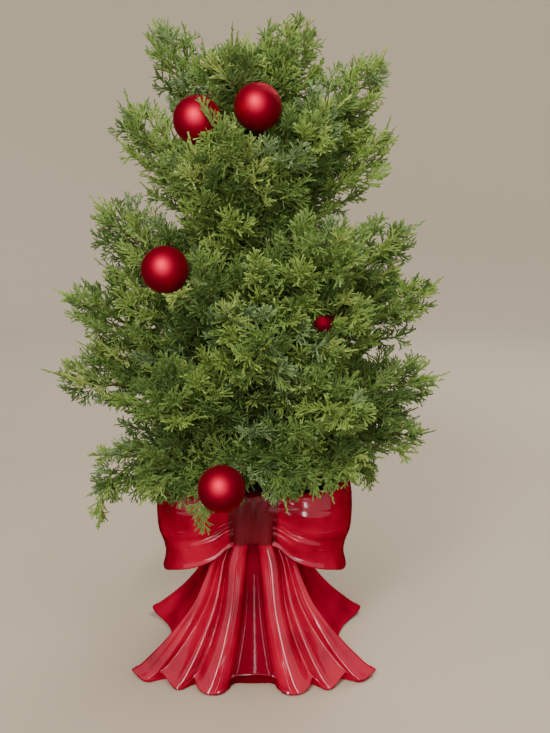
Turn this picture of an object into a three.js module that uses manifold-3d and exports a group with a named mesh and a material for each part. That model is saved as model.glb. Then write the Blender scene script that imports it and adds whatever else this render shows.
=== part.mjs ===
import * as THREE from 'three';
import { mergeVertices } from 'three/addons/utils/BufferGeometryUtils.js';
import Module from 'manifold-3d';

const wasm = await Module();
wasm.setup();

// Millimetres, +Z up, +X right, +Y away from the viewer.
// The origin is the middle of the planter's flat foot.

// Planter, cast as a ribbon bow with a front pair and a back pair of pleated tails.
const WAIST_Z = 163;
const FOOT_INSET = 9;
const LIP_INSET = 5;
const LIP_Z = 5;
const BODY_TOP = 205;
const LEVELS = [LIP_Z, 13, 27, 48, 69, 94, 121, 141, WAIST_Z, BODY_TOP];
const FRONT_HALF = [
  [0, 147], [5, 147], [13, 134], [27, 121], [48, 103], [69, 86], [94, 69], [121, 56.5], [141, 48], [163, 33],
];
const BACK_HALF = [
  [0, 143], [5, 143], [13, 129], [27, 112], [48, 91], [69, 75], [94, 62], [121, 53], [141, 46], [163, 33],
];
const SIDE_HALF = [[0, 105], [12, 95], [27, 83], [48, 71], [69, 63], [92, 57], [132, 53], [163, 51]];
const CORNER_Y = 81;
const FRONT_BULGE = 32;

// A sunk panel lies between a pair of tails. Each pair of numbers is the value at the knot and at the hem.
const PANEL_SHARE = [0.17, 0.185];
const PANEL_RECESS = [6, 12];
const PANEL_ROLL = 2.4;
const PANEL_ARCH = 4;

// A tail has a raised strip beside the panel and two round ridges outside it. This is the strip's share.
const STRIP_SHARE = [0.62, 0.33];
const STRIP_RISE = [2, 3.5];
const TAIL_RELIEF = [5, 14];
const TAIL_TUCK = 12;
const HEM_WAVE = 9;
const CORNER_LIFT = 4.5;

// Loops of the bow: one either side, from the front knot round to the back knot.
const LOOP_R = 117.5;
const LOOP_PINCH = 33;
const LOOP_TOP = 222;
const LOOP_UNDER = [[0, 105], [15, 110], [34, 123], [53, 136], [63, 146], [72, 159], [90, 165]];
const LOOP_SECTION = [[-7, 1], [-1, 0.83], [0, 0.66], [-5, 0.36], [-9, 0.2], [-6, 0.02], [-24, 0]];
const LOOP_STEPS = 16;

// Knots.
const KNOT_HALF = 26.7;
const KNOT_Y = 73;
const KNOT_DEPTH = 17;
const KNOT_ROWS = [[164.5, 0.76], [170, 0.86], [186, 0.93], [205, 1], [217, 0.98], [222.5, 0.88]];

// Planting hole as [z, half width, half depth], and the soil in it.
const HOLE = [[60, 40, 56], [125, 46, 62], [141, 62, 65], [165, 95, 68], [240, 99, 71]];
const SOIL_Z = 200;
const GAP = 0.35;
const CROWN_TOP = 746;

// Trunk as [x, y, z, radius], from its flat cut on the soil to its tip.
const TRUNK = [
  [0, 0, SOIL_Z + GAP, 14], [0, 0, 206, 10.5], [0, 0, 222, 8.8], [1, 1, 300, 7.6],
  [-3, 2, 400, 6.2], [0, -1, 490, 4.8], [5, 0, 570, 3.4], [9, 1, 640, 1.4],
];

// Foliage masses as [name, height on the trunk, share of the way held by a bough, tip x, y, z, radius, sag].
// A share of zero means that the stem meets the trunk with no bough. Sag lifts (+) or drops (-) the middle.
const MASSES = [
  ['leader_left', 545, 0, -106, 4, 739, 54, -10],
  ['leader_mid', 622, 0, 52, -4, 744, 54, -8],
  ['leader_right', 565, 0, 147, 0, 698, 54, -6],
  ['leader_front', 585, 0, -22, -64, 712, 52, -8],
  ['leader_back', 598, 0, -10, 68, 726, 54, -8],
  ['upper_left', 478, 0, -144, -10, 648, 56, -6],
  ['upper_right', 490, 0, 158, 8, 618, 56, 0],
  ['upper_front_right', 512, 0, 72, -102, 632, 60, 0],
  ['upper_front_left', 465, 0, -60, -112, 600, 60, 0],
  ['upper_back_right', 508, 0, 78, 102, 634, 60, 0],
  ['upper_back_left', 470, 0, -66, 110, 618, 60, 0],
  ['mid_left', 385, 0.2, -180, -2, 540, 62, -4],
  ['mid_right', 380, 0.2, 184, 2, 515, 62, 0],
  ['mid_front_right', 392, 0.2, 100, -136, 515, 66, 4],
  ['mid_front_left', 370, 0.2, -80, -148, 488, 66, 4],
  ['mid_back_right', 388, 0.2, 96, 140, 505, 66, 4],
  ['mid_back_left', 378, 0.2, -90, 142, 512, 66, 4],
  ['wide_left', 318, 0.22, -218, -14, 438, 64, 6],
  ['wide_right', 312, 0.22, 214, 6, 446, 64, 6],
  ['wide_front', 332, 0.2, 14, -174, 412, 66, 6],
  ['wide_back', 326, 0.2, 0, 174, 412, 66, 8],
  ['low_left', 268, 0.24, -238, 8, 342, 62, 12],
  ['low_right', 264, 0.24, 217, -4, 338, 62, 12],
  ['low_front_right', 280, 0.22, 116, -156, 340, 68, 10],
  ['low_front_left', 276, 0.22, -112, -158, 344, 68, 10],
  ['low_back_right', 278, 0.22, 138, 142, 348, 68, 10],
  ['low_back_left', 282, 0.22, -138, 140, 352, 68, 10],
  ['skirt_left', 236, 0.26, -187, -26, 200, 62, 42],
  ['skirt_right', 234, 0.26, 206, 6, 262, 62, 18],
  ['skirt_front', 252, 0, 36, -150, 240, 64, 34],
  ['skirt_front_right', 242, 0.24, 118, -118, 252, 66, 26],
  ['skirt_front_left', 245, 0.24, -110, -124, 232, 66, 28],
  ['skirt_back_right', 244, 0.24, 92, 146, 226, 66, 28],
  ['skirt_back_left', 240, 0.24, -86, 148, 222, 66, 28],
];
const BOUGH_BASE = 3.6;
const BOUGH_TIP = 2;
const STEM_BASE = 1.9;
const SPRAYS_PER_MASS = 15;
const TWIG_EVERY = 4;
const BLADE_LENGTH = 76;
const BLADE_WIDTH = 30;
const BLADE_THICK = 4;
const CORE = [[0, 0.34], [0.26, 0.5], [0.6, 0.36], [0.88, 0.08]];
const TRIES = [[1.15, 0], [0.95, 0], [0.95, 0.7], [0.75, 0], [0.75, 0.7], [0.55, 0], [0.55, -0.7]];
const OVERSHOOT = 6;
const GOLDEN = 2.39996;
const SEED = 20261;

// Small mathematics.
const vec = (p) => new THREE.Vector3(p[0], p[1], p[2]);
const mix = (a, b, t) => a + (b - a) * t;

function along(table, key) {
  for (let i = 1; i < table.length; i += 1) {
    if (key <= table[i][0]) {
      const t = (key - table[i - 1][0]) / (table[i][0] - table[i - 1][0]);
      return mix(table[i - 1][1], table[i][1], Math.max(0, t));
    }
  }
  return table[table.length - 1][1];
}

function seeded(seed) {
  let state = seed >>> 0;
  return () => {
    state = (state + 0x6d2b79f5) >>> 0;
    let t = Math.imul(state ^ (state >>> 15), 1 | state);
    t = (t + Math.imul(t ^ (t >>> 7), 61 | t)) ^ t;
    return ((t ^ (t >>> 14)) >>> 0) / 4294967296;
  };
}

// A closed solid from points and triangles, turned right side out.
function solid(points, triangles) {
  let volume = 0;
  for (const [a, b, c] of triangles) {
    volume += vec(points[a]).dot(vec(points[b]).cross(vec(points[c])));
  }
  const order = triangles.map(([a, b, c]) => (volume < 0 ? [a, c, b] : [a, b, c]));
  const vertProperties = new Float32Array(points.flat());
  const triVerts = new Uint32Array(order.flat());
  return new wasm.Manifold(new wasm.Mesh({ numProp: 3, vertProperties, triVerts }));
}

// Rings of equal length joined side by side, with a flat fan at either end.
function loft(rings) {
  const n = rings[0].length;
  const points = rings.flat();
  const triangles = [];
  for (let k = 0; k + 1 < rings.length; k += 1) {
    for (let i = 0; i < n; i += 1) {
      const j = (i + 1) % n;
      triangles.push([k * n + i, k * n + j, (k + 1) * n + j]);
      triangles.push([k * n + i, (k + 1) * n + j, (k + 1) * n + i]);
    }
  }
  for (const k of [0, rings.length - 1]) {
    const centre = [0, 1, 2].map((axis) => rings[k].reduce((sum, p) => sum + p[axis], 0) / n);
    points.push(centre);
    for (let i = 0; i < n; i += 1) {
      const edge = [k * n + i, k * n + ((i + 1) % n)];
      triangles.push(k === 0 ? [edge[1], edge[0], points.length - 1] : [edge[0], edge[1], points.length - 1]);
    }
  }
  return solid(points, triangles);
}

// A pair of values, at the knot and at the hem, read at a share of the way down.
const knotToHem = (pair, drop) => mix(pair[0], pair[1], drop);

// Across a tail, s is 0 to 1 on the strip and 1 to 3 on the ridges. Height is 0 in a valley, 1 on a crest.
function tailHeight(s) {
  const strip = Math.pow(Math.max(0, Math.sin(Math.PI * s)), 0.45);
  const ridge = 0.5 - 0.5 * Math.cos(2 * Math.PI * s);
  return s <= 1 ? strip : ridge;
}

// Planter: one outline point at a level. A column is on a tail, on the sunk panel between the
// two tails, or on the plain side wall between the front tails and the back tails.
function outlinePoint(column, level) {
  const z = Math.min(level, WAIST_Z);
  const drop = 1 - z / WAIST_Z;
  const inner = knotToHem(PANEL_SHARE, drop);
  const relief = knotToHem(TAIL_RELIEF, drop);
  const fade = Math.max(0, 1 - level / 70);
  if (column.kind === 'side') {
    const side = along(SIDE_HALF, z);
    const towardsBack = (column.v + 1) / 2;
    const half = mix(along(FRONT_HALF, z), along(BACK_HALF, z), towardsBack);
    const x = side + (half - side) * column.v * column.v;
    const lift = CORNER_LIFT * Math.pow(Math.abs(column.v), 8) * fade;
    return [column.sign * x, column.v * CORNER_Y, level + lift];
  }
  const half = along(column.face < 0 ? FRONT_HALF : BACK_HALF, z);
  let share;
  let out;
  let hem;
  if (column.kind === 'tail') {
    const strip = knotToHem(STRIP_SHARE, 1 - Math.pow(1 - drop, 2.5));
    const w = column.s <= 1 ? column.s * strip : strip + (1 - strip) * (column.s - 1) / 2;
    const height = tailHeight(column.s);
    share = inner + (1 - inner) * w;
    out = relief * (height - 0.5);
    out += column.s < 1 ? knotToHem(STRIP_RISE, drop) * height : -TAIL_TUCK * Math.pow(1 - drop, 1.5);
    out *= 1 - Math.pow(w, 6);
    hem = HEM_WAVE * Math.pow(1 - height, 1.6) * (1 - (1 - CORNER_LIFT / HEM_WAVE) * Math.pow(w, 8));
  } else {
    share = inner * Math.abs(column.p);
    const recess = knotToHem(PANEL_RECESS, drop);
    out = mix(-recess, -relief / 2, Math.pow(Math.abs(column.p), 7)) + PANEL_ROLL * (1 - Math.abs(column.p));
    hem = HEM_WAVE + PANEL_ARCH * (1 - column.p * column.p);
  }
  const bulge = 5 + FRONT_BULGE * Math.pow(drop, 1.3);
  const y = CORNER_Y + bulge * (1 - Math.pow(share, 2.5)) + out;
  return [column.sign * share * half, column.face * y, level + hem * fade];
}

function columns() {
  const tail = [3, 2.8, 2.5, 2.2, 2, 1.8, 1.5, 1.2, 1, 0.9, 0.65, 0.35, 0.1, 0];
  const panel = [0.82, 0.3, 0];
  const side = [-0.72, -0.4, 0, 0.4, 0.72];
  const list = [];
  for (const face of [-1, 1]) {
    const left = tail.map((s) => ({ kind: 'tail', s, face, sign: face }));
    const right = tail.map((s) => ({ kind: 'tail', s, face, sign: -face })).reverse();
    const sunk = panel.map((p) => ({ kind: 'panel', p, face, sign: face }));
    const rest = panel.slice(0, 2).map((p) => ({ kind: 'panel', p, face, sign: -face })).reverse();
    list.push(...left, ...sunk, ...rest, ...right);
    list.push(...side.map((v) => ({ kind: 'side', v: -face * v, sign: -face })));
  }
  return list;
}

function inset(point, distance, z) {
  const r = Math.hypot(point[0], point[1]);
  return [point[0] * (1 - distance / r), point[1] * (1 - distance / r), z];
}

function bowBody() {
  const list = columns();
  const hem = list.map((column) => outlinePoint(column, 0));
  const rings = [
    hem.map((p) => inset(p, FOOT_INSET, 0)),
    hem.map((p) => inset(p, LIP_INSET, p[2] + 0.6)),
    ...LEVELS.map((level) => list.map((column) => outlinePoint(column, level))),
  ];
  return loft(rings);
}

function loopRadius(angle) {
  return LOOP_R - LOOP_PINCH * Math.pow(Math.abs(Math.sin(angle)), 6);
}

function bowLoop(sign) {
  const rings = [];
  for (let i = 0; i <= LOOP_STEPS; i += 1) {
    const angle = mix(-Math.PI / 2, Math.PI / 2, i / LOOP_STEPS);
    const r = loopRadius(angle);
    const under = along(LOOP_UNDER, Math.abs(angle) * 180 / Math.PI);
    const section = LOOP_SECTION.map(([out, q]) => [r + out, mix(under, LOOP_TOP, q)]);
    section.push([r * 0.42, under + 26], [r * 0.42, LOOP_TOP - 5]);
    section.push([r - 16, LOOP_TOP - 4], [r - 12, LOOP_TOP]);
    rings.push(section.map(([d, z]) => [sign * d * Math.cos(angle), d * Math.sin(angle), z]));
  }
  return loft(rings);
}

function bowKnot(face) {
  const rings = KNOT_ROWS.map(([z, scale]) => {
    const ring = [];
    for (let i = 0; i < 20; i += 1) {
      const a = (i / 20) * 2 * Math.PI;
      const c = Math.cos(a);
      const s = Math.sin(a);
      const squared = Math.pow(Math.abs(c) ** 3.4 + Math.abs(s) ** 3.4, -1 / 3.4);
      ring.push([KNOT_HALF * scale * squared * c, face * KNOT_Y + KNOT_DEPTH * scale * squared * s, z]);
    }
    return ring;
  });
  return loft(rings);
}

function holeSolid(rows, less) {
  const rings = rows.map(([z, halfX, halfY]) => {
    const ring = [];
    for (let i = 0; i < 28; i += 1) {
      const a = (i / 28) * 2 * Math.PI;
      ring.push([(halfX - less) * Math.cos(a), (halfY - less) * Math.sin(a), z]);
    }
    return ring;
  });
  return loft(rings);
}

function planter() {
  let whole = bowBody();
  for (const piece of [bowLoop(1), bowLoop(-1), bowKnot(-1), bowKnot(1)]) {
    whole = whole.add(piece);
  }
  return whole.subtract(holeSolid(HOLE, 0));
}

function soilSolid() {
  const rows = HOLE.filter((row) => row[0] < SOIL_Z);
  const last = HOLE[HOLE.length - 1];
  const before = HOLE[HOLE.length - 2];
  const t = (SOIL_Z - before[0]) / (last[0] - before[0]);
  rows.push([SOIL_Z, mix(before[1], last[1], t), mix(before[2], last[2], t)]);
  rows[0] = [rows[0][0] + GAP, rows[0][1], rows[0][2]];
  return holeSolid(rows, 0.6);
}

// A tapering limb through a path of [x, y, z, radius].
function limb(path, sides, grow = 0) {
  const rings = [];
  let across = new THREE.Vector3(1, 0, 0);
  path.forEach((point, i) => {
    const before = vec(path[Math.max(0, i - 1)]);
    const after = vec(path[Math.min(path.length - 1, i + 1)]);
    const way = after.sub(before).normalize();
    if (Math.abs(across.dot(way)) > 0.9) {
      across = new THREE.Vector3(0, 1, 0);
    }
    across = across.clone().addScaledVector(way, -across.dot(way)).normalize();
    const up = new THREE.Vector3().crossVectors(way, across);
    const ring = [];
    for (let k = 0; k < sides; k += 1) {
      const a = (k / sides) * 2 * Math.PI;
      const r = point[3] + grow;
      const p = vec(point).addScaledVector(across, r * Math.cos(a)).addScaledVector(up, r * Math.sin(a));
      ring.push([p.x, p.y, p.z]);
    }
    rings.push(ring);
  });
  return loft(rings);
}

function trunkAt(z) {
  return [0, 1, 3].map((axis) => along(TRUNK.map((row) => [row[2], row[axis]]), z));
}

// The way from the trunk out to a tip, as a bent line, read at share t.
function wayPoint(mass, t) {
  const [x0, y0] = trunkAt(mass.z);
  const base = new THREE.Vector3(x0, y0, mass.z);
  const p = base.clone().lerp(mass.tip, t);
  p.z += mass.sag * 4 * t * (1 - t);
  return p;
}

function readMasses() {
  return MASSES.map(([name, z, share, x, y, tipZ, radius, sag]) => {
    const mass = { name, z, share, tip: new THREE.Vector3(x, y, tipZ), radius, sag };
    const [, , trunkRadius] = trunkAt(z);
    const whole = wayPoint(mass, 0).distanceTo(mass.tip);
    mass.first = share > 0 ? share : trunkRadius * 0.9 / whole;
    mass.start = wayPoint(mass, mass.first);
    return mass;
  });
}

function boughPath(mass) {
  const whole = wayPoint(mass, 0).distanceTo(mass.tip);
  const end = mass.first - GAP / whole;
  return [0, 0.5, 1].map((t) => {
    const p = wayPoint(mass, end * t);
    return [p.x, p.y, p.z, mix(BOUGH_BASE, BOUGH_TIP, t)];
  });
}

// The flat walls between one mass and its neighbours.
function closest(a, b) {
  const d1 = a.tip.clone().sub(a.start);
  const d2 = b.tip.clone().sub(b.start);
  const r = a.start.clone().sub(b.start);
  const [aa, ee, f, c, bb] = [d1.dot(d1), d2.dot(d2), d2.dot(r), d1.dot(r), d1.dot(d2)];
  const clamp = (v) => Math.min(1, Math.max(0, v));
  let s = clamp((bb * f - c * ee) / Math.max(1e-9, aa * ee - bb * bb));
  const t = clamp((bb * s + f) / ee);
  s = clamp((bb * t - c) / aa);
  return [a.start.clone().addScaledVector(d1, s), b.start.clone().addScaledVector(d2, t)];
}

function walls(mass, masses) {
  const list = [];
  for (const other of masses) {
    if (other !== mass) {
      const [p, q] = closest(mass, other);
      const inward = p.clone().sub(q);
      const at = p.clone().lerp(q, mass.radius / (mass.radius + other.radius));
      if (inward.length() < (mass.radius + other.radius) * 1.4) {
        inward.normalize();
        list.push({ inward, offset: at.dot(inward) + 0.25 });
      }
    }
  }
  return list;
}

function insideWalls(list, p, margin) {
  return list.every((wall) => p.dot(wall.inward) - wall.offset > margin);
}

// True when a point keeps clear of the planter, the soil and every limb.
function clearOfRest(p, limbs, own, margin) {
  const r = Math.hypot(p.x, p.y);
  const angle = Math.atan2(p.y, Math.abs(p.x));
  if (p.z < LOOP_TOP + 3 + margin && r < Math.max(KNOT_Y + KNOT_DEPTH + 3, loopRadius(angle)) + 2 + margin) {
    return false;
  }
  return limbs.every((path) => {
    if (path === own) {
      return true;
    }
    for (let i = 0; i + 1 < path.length; i += 1) {
      const line = new THREE.Line3(vec(path[i]), vec(path[i + 1]));
      const near = line.closestPointToPoint(p, true, new THREE.Vector3());
      if (near.distanceTo(p) < Math.max(path[i][3], path[i + 1][3]) + margin) {
        return false;
      }
    }
    return true;
  });
}

// A leaf: a long flat diamond with a raised midrib, six faces, standing for one spray of fine needles.
function blade(base, way, flat, length, width) {
  const side = new THREE.Vector3().crossVectors(way, flat).normalize();
  const normal = new THREE.Vector3().crossVectors(side, way).normalize();
  const belly = base.clone().addScaledVector(way, length * 0.52);
  const tip = base.clone().addScaledVector(way, length);
  const corners = [
    base,
    belly.clone().addScaledVector(side, width / 2),
    belly.clone().addScaledVector(normal, BLADE_THICK),
    belly.clone().addScaledVector(side, -width / 2),
    tip,
  ];
  const faces = [[0, 2, 1], [0, 3, 2], [0, 1, 3], [4, 1, 2], [4, 2, 3], [4, 3, 1]];
  return { body: solid(corners.map((p) => [p.x, p.y, p.z]), faces), corners };
}

function twig(from, to, radius) {
  const way = to.clone().sub(from).normalize();
  const flat = Math.abs(way.z) < 0.8 ? new THREE.Vector3(0, 0, 1) : new THREE.Vector3(1, 0, 0);
  const side = new THREE.Vector3().crossVectors(way, flat).normalize();
  const up = new THREE.Vector3().crossVectors(side, way);
  const points = [0, 1, 2].map((k) => {
    const a = (k / 3) * 2 * Math.PI;
    return from.clone().addScaledVector(side, radius * Math.cos(a)).addScaledVector(up, radius * Math.sin(a));
  });
  const corners = [...points, to].map((p) => [p.x, p.y, p.z]);
  return solid(corners, [[0, 1, 2], [0, 3, 1], [1, 3, 2], [2, 3, 0]]);
}

function massSolid(mass, masses, limbs, random) {
  const list = walls(mass, masses);
  const inner = (t) => wayPoint(mass, mix(mass.first, 1, t));
  const length = mass.start.distanceTo(mass.tip);
  const forward = inner(1).sub(inner(0.8)).normalize();
  const end = mass.tip.dot(forward) + OVERSHOOT;
  const within = (p, margin) => insideWalls(list, p, 0.05) && p.dot(forward) < end
    && p.z < mass.tip.z + mass.radius * 0.7 && p.z < CROWN_TOP && clearOfRest(p, limbs, mass.bough, margin);

  const stemPath = [0, 0.35, 0.9].map((t) => {
    const p = inner(t);
    return [p.x, p.y, p.z, mix(STEM_BASE, 0.8, t)];
  });
  let whole = limb(stemPath, 3);

  const core = CORE.map(([t, share]) => {
    const p = inner(t);
    return [p.x, p.y, p.z, mass.radius * share];
  });
  let heart = limb(core, 5);
  for (const wall of list) {
    heart = heart.trimByPlane([wall.inward.x, wall.inward.y, wall.inward.z], wall.offset + 0.05);
  }
  whole = whole.add(heart);

  let turn = random() * 6;
  for (let i = 0; i < SPRAYS_PER_MASS; i += 1) {
    const t = mix(0.02, 0.93, i / (SPRAYS_PER_MASS - 1));
    const from = inner(t);
    const way = inner(Math.min(1, t + 0.05)).sub(inner(Math.max(0, t - 0.05))).normalize();
    const size = mix(0.9, 1.1, random());
    const flat = new THREE.Vector3(random() - 0.5, random() - 0.5, random() + 0.2);
    turn += GOLDEN;
    for (const [share, extra] of TRIES) {
      const across = new THREE.Vector3(-way.z, 0, way.x).normalize().applyAxisAngle(way, turn + extra);
      const head = across.multiplyScalar(mix(1.15, 0.5, t)).addScaledVector(way, 0.75).normalize();
      const base = from.clone().addScaledVector(head, mass.radius * 0.1);
      const leaf = blade(base, head, flat, BLADE_LENGTH * share * size, BLADE_WIDTH * mix(0.5, 1, share));
      const tests = [0.2, 0.4, 0.6, 0.8].map((u) => base.clone().lerp(leaf.corners[4], u));
      if ([...leaf.corners.slice(1), ...tests].every((p) => within(p, 2.5))) {
        whole = whole.add(leaf.body);
        const elbow = base.clone().addScaledVector(head, BLADE_LENGTH * share * 0.45);
        if (i % TWIG_EVERY === 0 && within(from, 2.5)) {
          whole = whole.add(twig(from, elbow, 1.6));
        }
        break;
      }
    }
  }
  const tipLength = Math.min(BLADE_LENGTH, length * 0.45);
  const tipBase = mass.tip.clone().addScaledVector(forward, -tipLength);
  whole = whole.add(blade(tipBase, forward, new THREE.Vector3(0, 0.3, 1), tipLength, BLADE_WIDTH * 0.6).body);
  return whole;
}

// Keep the largest body and drop loose scraps.
function largest(shape) {
  const parts = shape.decompose();
  parts.sort((a, b) => b.volume() - a.volume());
  return parts[0];
}

const group = new THREE.Group();
group.name = 'potted_juniper';

function addNode(name, shape, colour, roughness) {
  const mesh = shape.getMesh();
  const geometry = new THREE.BufferGeometry();
  geometry.setAttribute('position', new THREE.BufferAttribute(new Float32Array(mesh.vertProperties), 3));
  geometry.setIndex(new THREE.BufferAttribute(new Uint32Array(mesh.triVerts), 1));
  const merged = mergeVertices(geometry, 1e-4);
  merged.computeVertexNormals();
  const finish = { color: colour, roughness, metalness: 0, flatShading: true };
  const material = new THREE.MeshStandardMaterial(finish);
  material.name = `${name}_surface`;
  const node = new THREE.Mesh(merged, material);
  node.name = name;
  group.add(node);
}

const masses = readMasses();
for (const mass of masses) {
  mass.bough = mass.share > 0 ? boughPath(mass) : null;
}
const limbs = [TRUNK, ...masses.filter((mass) => mass.bough).map((mass) => mass.bough)];

addNode('bow_planter', planter(), '#9c1220', 0.15);
addNode('soil', soilSolid(), '#33271c', 0.95);
addNode('trunk', limb(TRUNK, 8), '#5d4633', 0.9);
const trunkKeepOut = limb(TRUNK, 8, GAP);
for (const mass of masses) {
  if (mass.bough) {
    addNode(`bough_${mass.name}`, largest(limb(mass.bough, 5).subtract(trunkKeepOut)), '#6a5138', 0.9);
  }
}
masses.forEach((mass, index) => {
  const random = seeded(SEED + index * 101);
  let shape = massSolid(mass, masses, limbs, random);
  for (const path of limbs) {
    shape = shape.subtract(limb(path, path === TRUNK ? 8 : 5, GAP));
  }
  addNode(`foliage_${mass.name}`, largest(shape), ['#5f7f35', '#6d8a3c', '#557433'][index % 3], 0.8);
});

export default group;
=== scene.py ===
# %% [markdown]
# # A potted juniper in a ribbon-bow planter
# The plant is a small bushy juniper: an upright trunk, ascending boughs, and plumes of
# scale-leaved sprays. It stands in a glossy red ceramic planter cast as a ribbon bow, and
# round satin baubles hang in it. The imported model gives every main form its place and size.
# This file dresses those forms: each plain solid is replaced by a finer mesh of the same shape.

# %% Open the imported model
import math

import bpy
import numpy as np
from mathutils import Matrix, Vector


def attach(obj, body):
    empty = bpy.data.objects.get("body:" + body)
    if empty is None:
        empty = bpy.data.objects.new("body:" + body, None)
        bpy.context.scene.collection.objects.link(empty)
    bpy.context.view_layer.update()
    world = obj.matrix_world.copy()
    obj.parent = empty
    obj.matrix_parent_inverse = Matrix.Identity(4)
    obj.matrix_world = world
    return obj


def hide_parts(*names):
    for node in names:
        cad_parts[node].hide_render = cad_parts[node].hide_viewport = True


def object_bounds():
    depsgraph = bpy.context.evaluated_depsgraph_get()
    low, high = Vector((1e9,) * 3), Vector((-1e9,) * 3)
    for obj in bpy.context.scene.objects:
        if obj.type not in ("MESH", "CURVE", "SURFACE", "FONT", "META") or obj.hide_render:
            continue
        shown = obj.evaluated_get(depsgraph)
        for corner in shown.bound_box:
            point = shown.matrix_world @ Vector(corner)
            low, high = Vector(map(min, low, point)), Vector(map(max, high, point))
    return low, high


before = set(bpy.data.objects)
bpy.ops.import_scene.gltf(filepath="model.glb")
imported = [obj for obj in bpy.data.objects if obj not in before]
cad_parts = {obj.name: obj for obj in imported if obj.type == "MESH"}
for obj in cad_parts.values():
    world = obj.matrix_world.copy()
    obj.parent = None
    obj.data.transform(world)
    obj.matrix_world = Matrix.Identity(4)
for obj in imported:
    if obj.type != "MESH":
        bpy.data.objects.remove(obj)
cad_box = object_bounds()
MM = 0.001
print("nodes in the packed model:", len(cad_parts))


# %% [markdown]
# Everything below is worked out in millimetres, as a maker would measure it, and is turned to
# metres in one place. A mesh is a list of points and a list of faces. numpy writes both to
# Blender in one go, which matters here, because the foliage has hundreds of thousands of faces.

# %% From points and faces to a piece that rides on the plant
def make_piece(name, points, faces, material, smooth=True):
    mesh = bpy.data.meshes.new(name)
    faces = np.asarray(faces, np.int32)
    points = np.asarray(points, float) * MM
    mesh.vertices.add(len(points))
    mesh.vertices.foreach_set("co", points.astype(np.float32).ravel())
    mesh.loops.add(faces.size)
    mesh.loops.foreach_set("vertex_index", faces.ravel())
    mesh.polygons.add(len(faces))
    starts = np.arange(0, faces.size, faces.shape[1], dtype=np.int32)
    mesh.polygons.foreach_set("loop_start", starts)
    mesh.polygons.foreach_set("use_smooth", np.full(len(faces), smooth))
    mesh.update(calc_edges=True)
    mesh.validate()
    piece = bpy.data.objects.new(name, mesh)
    bpy.context.scene.collection.objects.link(piece)
    mesh.materials.append(material)
    return piece


def keep(piece, nodes=()):
    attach(piece, "root")
    if nodes:
        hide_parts(*nodes)
    triangles = sum(len(p.vertices) - 2 for p in piece.data.polygons)
    print(f"{piece.name}: {triangles} triangles")
    return triangles


# %% [markdown]
# Most shapes here are lofts: closed rings of points, one above the other, joined by a skin and
# closed at both ends. The skin is turned so that its faces look outwards.

# %% A closed solid through rings
def round_angles(count):
    return np.linspace(0, 2 * np.pi, count, endpoint=False)


def loft_faces(rows, columns):
    """Quads between closed rings, as indices into the rings laid end to end."""
    k, i = np.meshgrid(np.arange(rows - 1), np.arange(columns), indexing="ij")
    here, beside = k * columns + i, k * columns + (i + 1) % columns
    return np.stack([here, beside, beside + columns, here + columns], -1).reshape(-1, 4)


def capped_loft(rings):
    """Points and triangles of a closed solid through rings of equal length."""
    rings = np.asarray(rings, float)
    rows, columns, _ = rings.shape
    quads = loft_faces(rows, columns)
    triangles = np.concatenate([quads[:, [0, 1, 2]], quads[:, [0, 2, 3]]])
    points = np.concatenate([rings.reshape(-1, 3), rings[:1].mean(1), rings[-1:].mean(1)])
    i = np.arange(columns)
    j = (i + 1) % columns
    middle = np.full(columns, rows * columns)
    last = (rows - 1) * columns
    start = np.stack([j, i, middle], -1)
    end = np.stack([last + i, last + j, middle + 1], -1)
    triangles = np.concatenate([triangles, start, end])
    a, b, c = (points[triangles[:, n]] for n in range(3))
    if np.einsum("ij,ij->", a, np.cross(b, c)) < 0:
        triangles = triangles[:, ::-1]
    return points, triangles


# %% [markdown]
# A material is a small graph of nodes. One helper adds a node with its settings and links, so
# each finish below reads as a short list. Colours are written as the hex values that a paint
# program shows (sRGB), and one function turns them into the linear values that light works in.

# %% Colour and node helpers
def linear(hex_colour):
    values = [int(hex_colour[i:i + 2], 16) / 255 for i in (1, 3, 5)]
    return *(v / 12.92 if v <= 0.04045 else ((v + 0.055) / 1.055) ** 2.4 for v in values), 1.0


def new_material(name):
    """A material, its tree, its shader, and the link that gives a node each point's place."""
    material = bpy.data.materials.new(name)
    material.use_nodes = True
    tree = material.node_tree
    shader = next(n for n in tree.nodes if n.type == "BSDF_PRINCIPLED")
    return material, tree, shader, [("Vector", tree.nodes.new("ShaderNodeTexCoord"), "Object")]


def wire(tree, target, values=(), links=()):
    """Sets a node's sockets: values by name, and links as (socket, from node, its output)."""
    for key, value in dict(values).items():
        target.inputs[key].default_value = value
    for socket, source, output in links:
        tree.links.new(source.outputs[output], target.inputs[socket])


def node(tree, kind, values=(), links=(), settings=(), stops=()):
    """Adds a node with its sockets, links, own fields (settings) and a colour ramp's stops."""
    made = tree.nodes.new("ShaderNode" + kind)
    for key, value in dict(settings).items():
        setattr(made, key, value)
    wire(tree, made, values, links)
    for _ in stops[2:]:
        made.color_ramp.elements.new(0.5)
    for number, (position, colour) in enumerate(stops):
        made.color_ramp.elements[number].position = position
        made.color_ramp.elements[number].color = colour
    return made


def per(mm):
    """The scale that makes a noise pattern's lumps this many millimetres across."""
    return 1 / (mm * MM)


# %% [markdown]
# The planter is slip-cast earthenware under a red gloss glaze. The glaze is a thin coat of
# coloured glass: it is smooth enough to mirror a lamp as a crisp streak, it lies a little
# thinner and lighter here and there, and it has a faint waviness left from firing. So the base
# is a deep red with a soft mottle tens of millimetres across, under the mirror of IOR 1.5 that
# glass has. In the sunk panels the red is deeper, partly where the glaze pooled and partly as
# painted shade for the recess, and it is as smooth. On the wrinkled knots the red is darkest,
# as painted shade, and less smooth. Both lie between raised folds that hide part of the room
# from them, so a lower IOR makes their mirror weaker.

# %% Glazed earthenware
GLAZE_REDS = ["#860426", "#A80A32", "#BC123C"]
# Sunk panels: deeper reds, partly pooled glaze and partly painted shade for the recess.
POOL_AND_SHADE_REDS = ["#5E0218", "#740620", "#860A28"]
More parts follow.
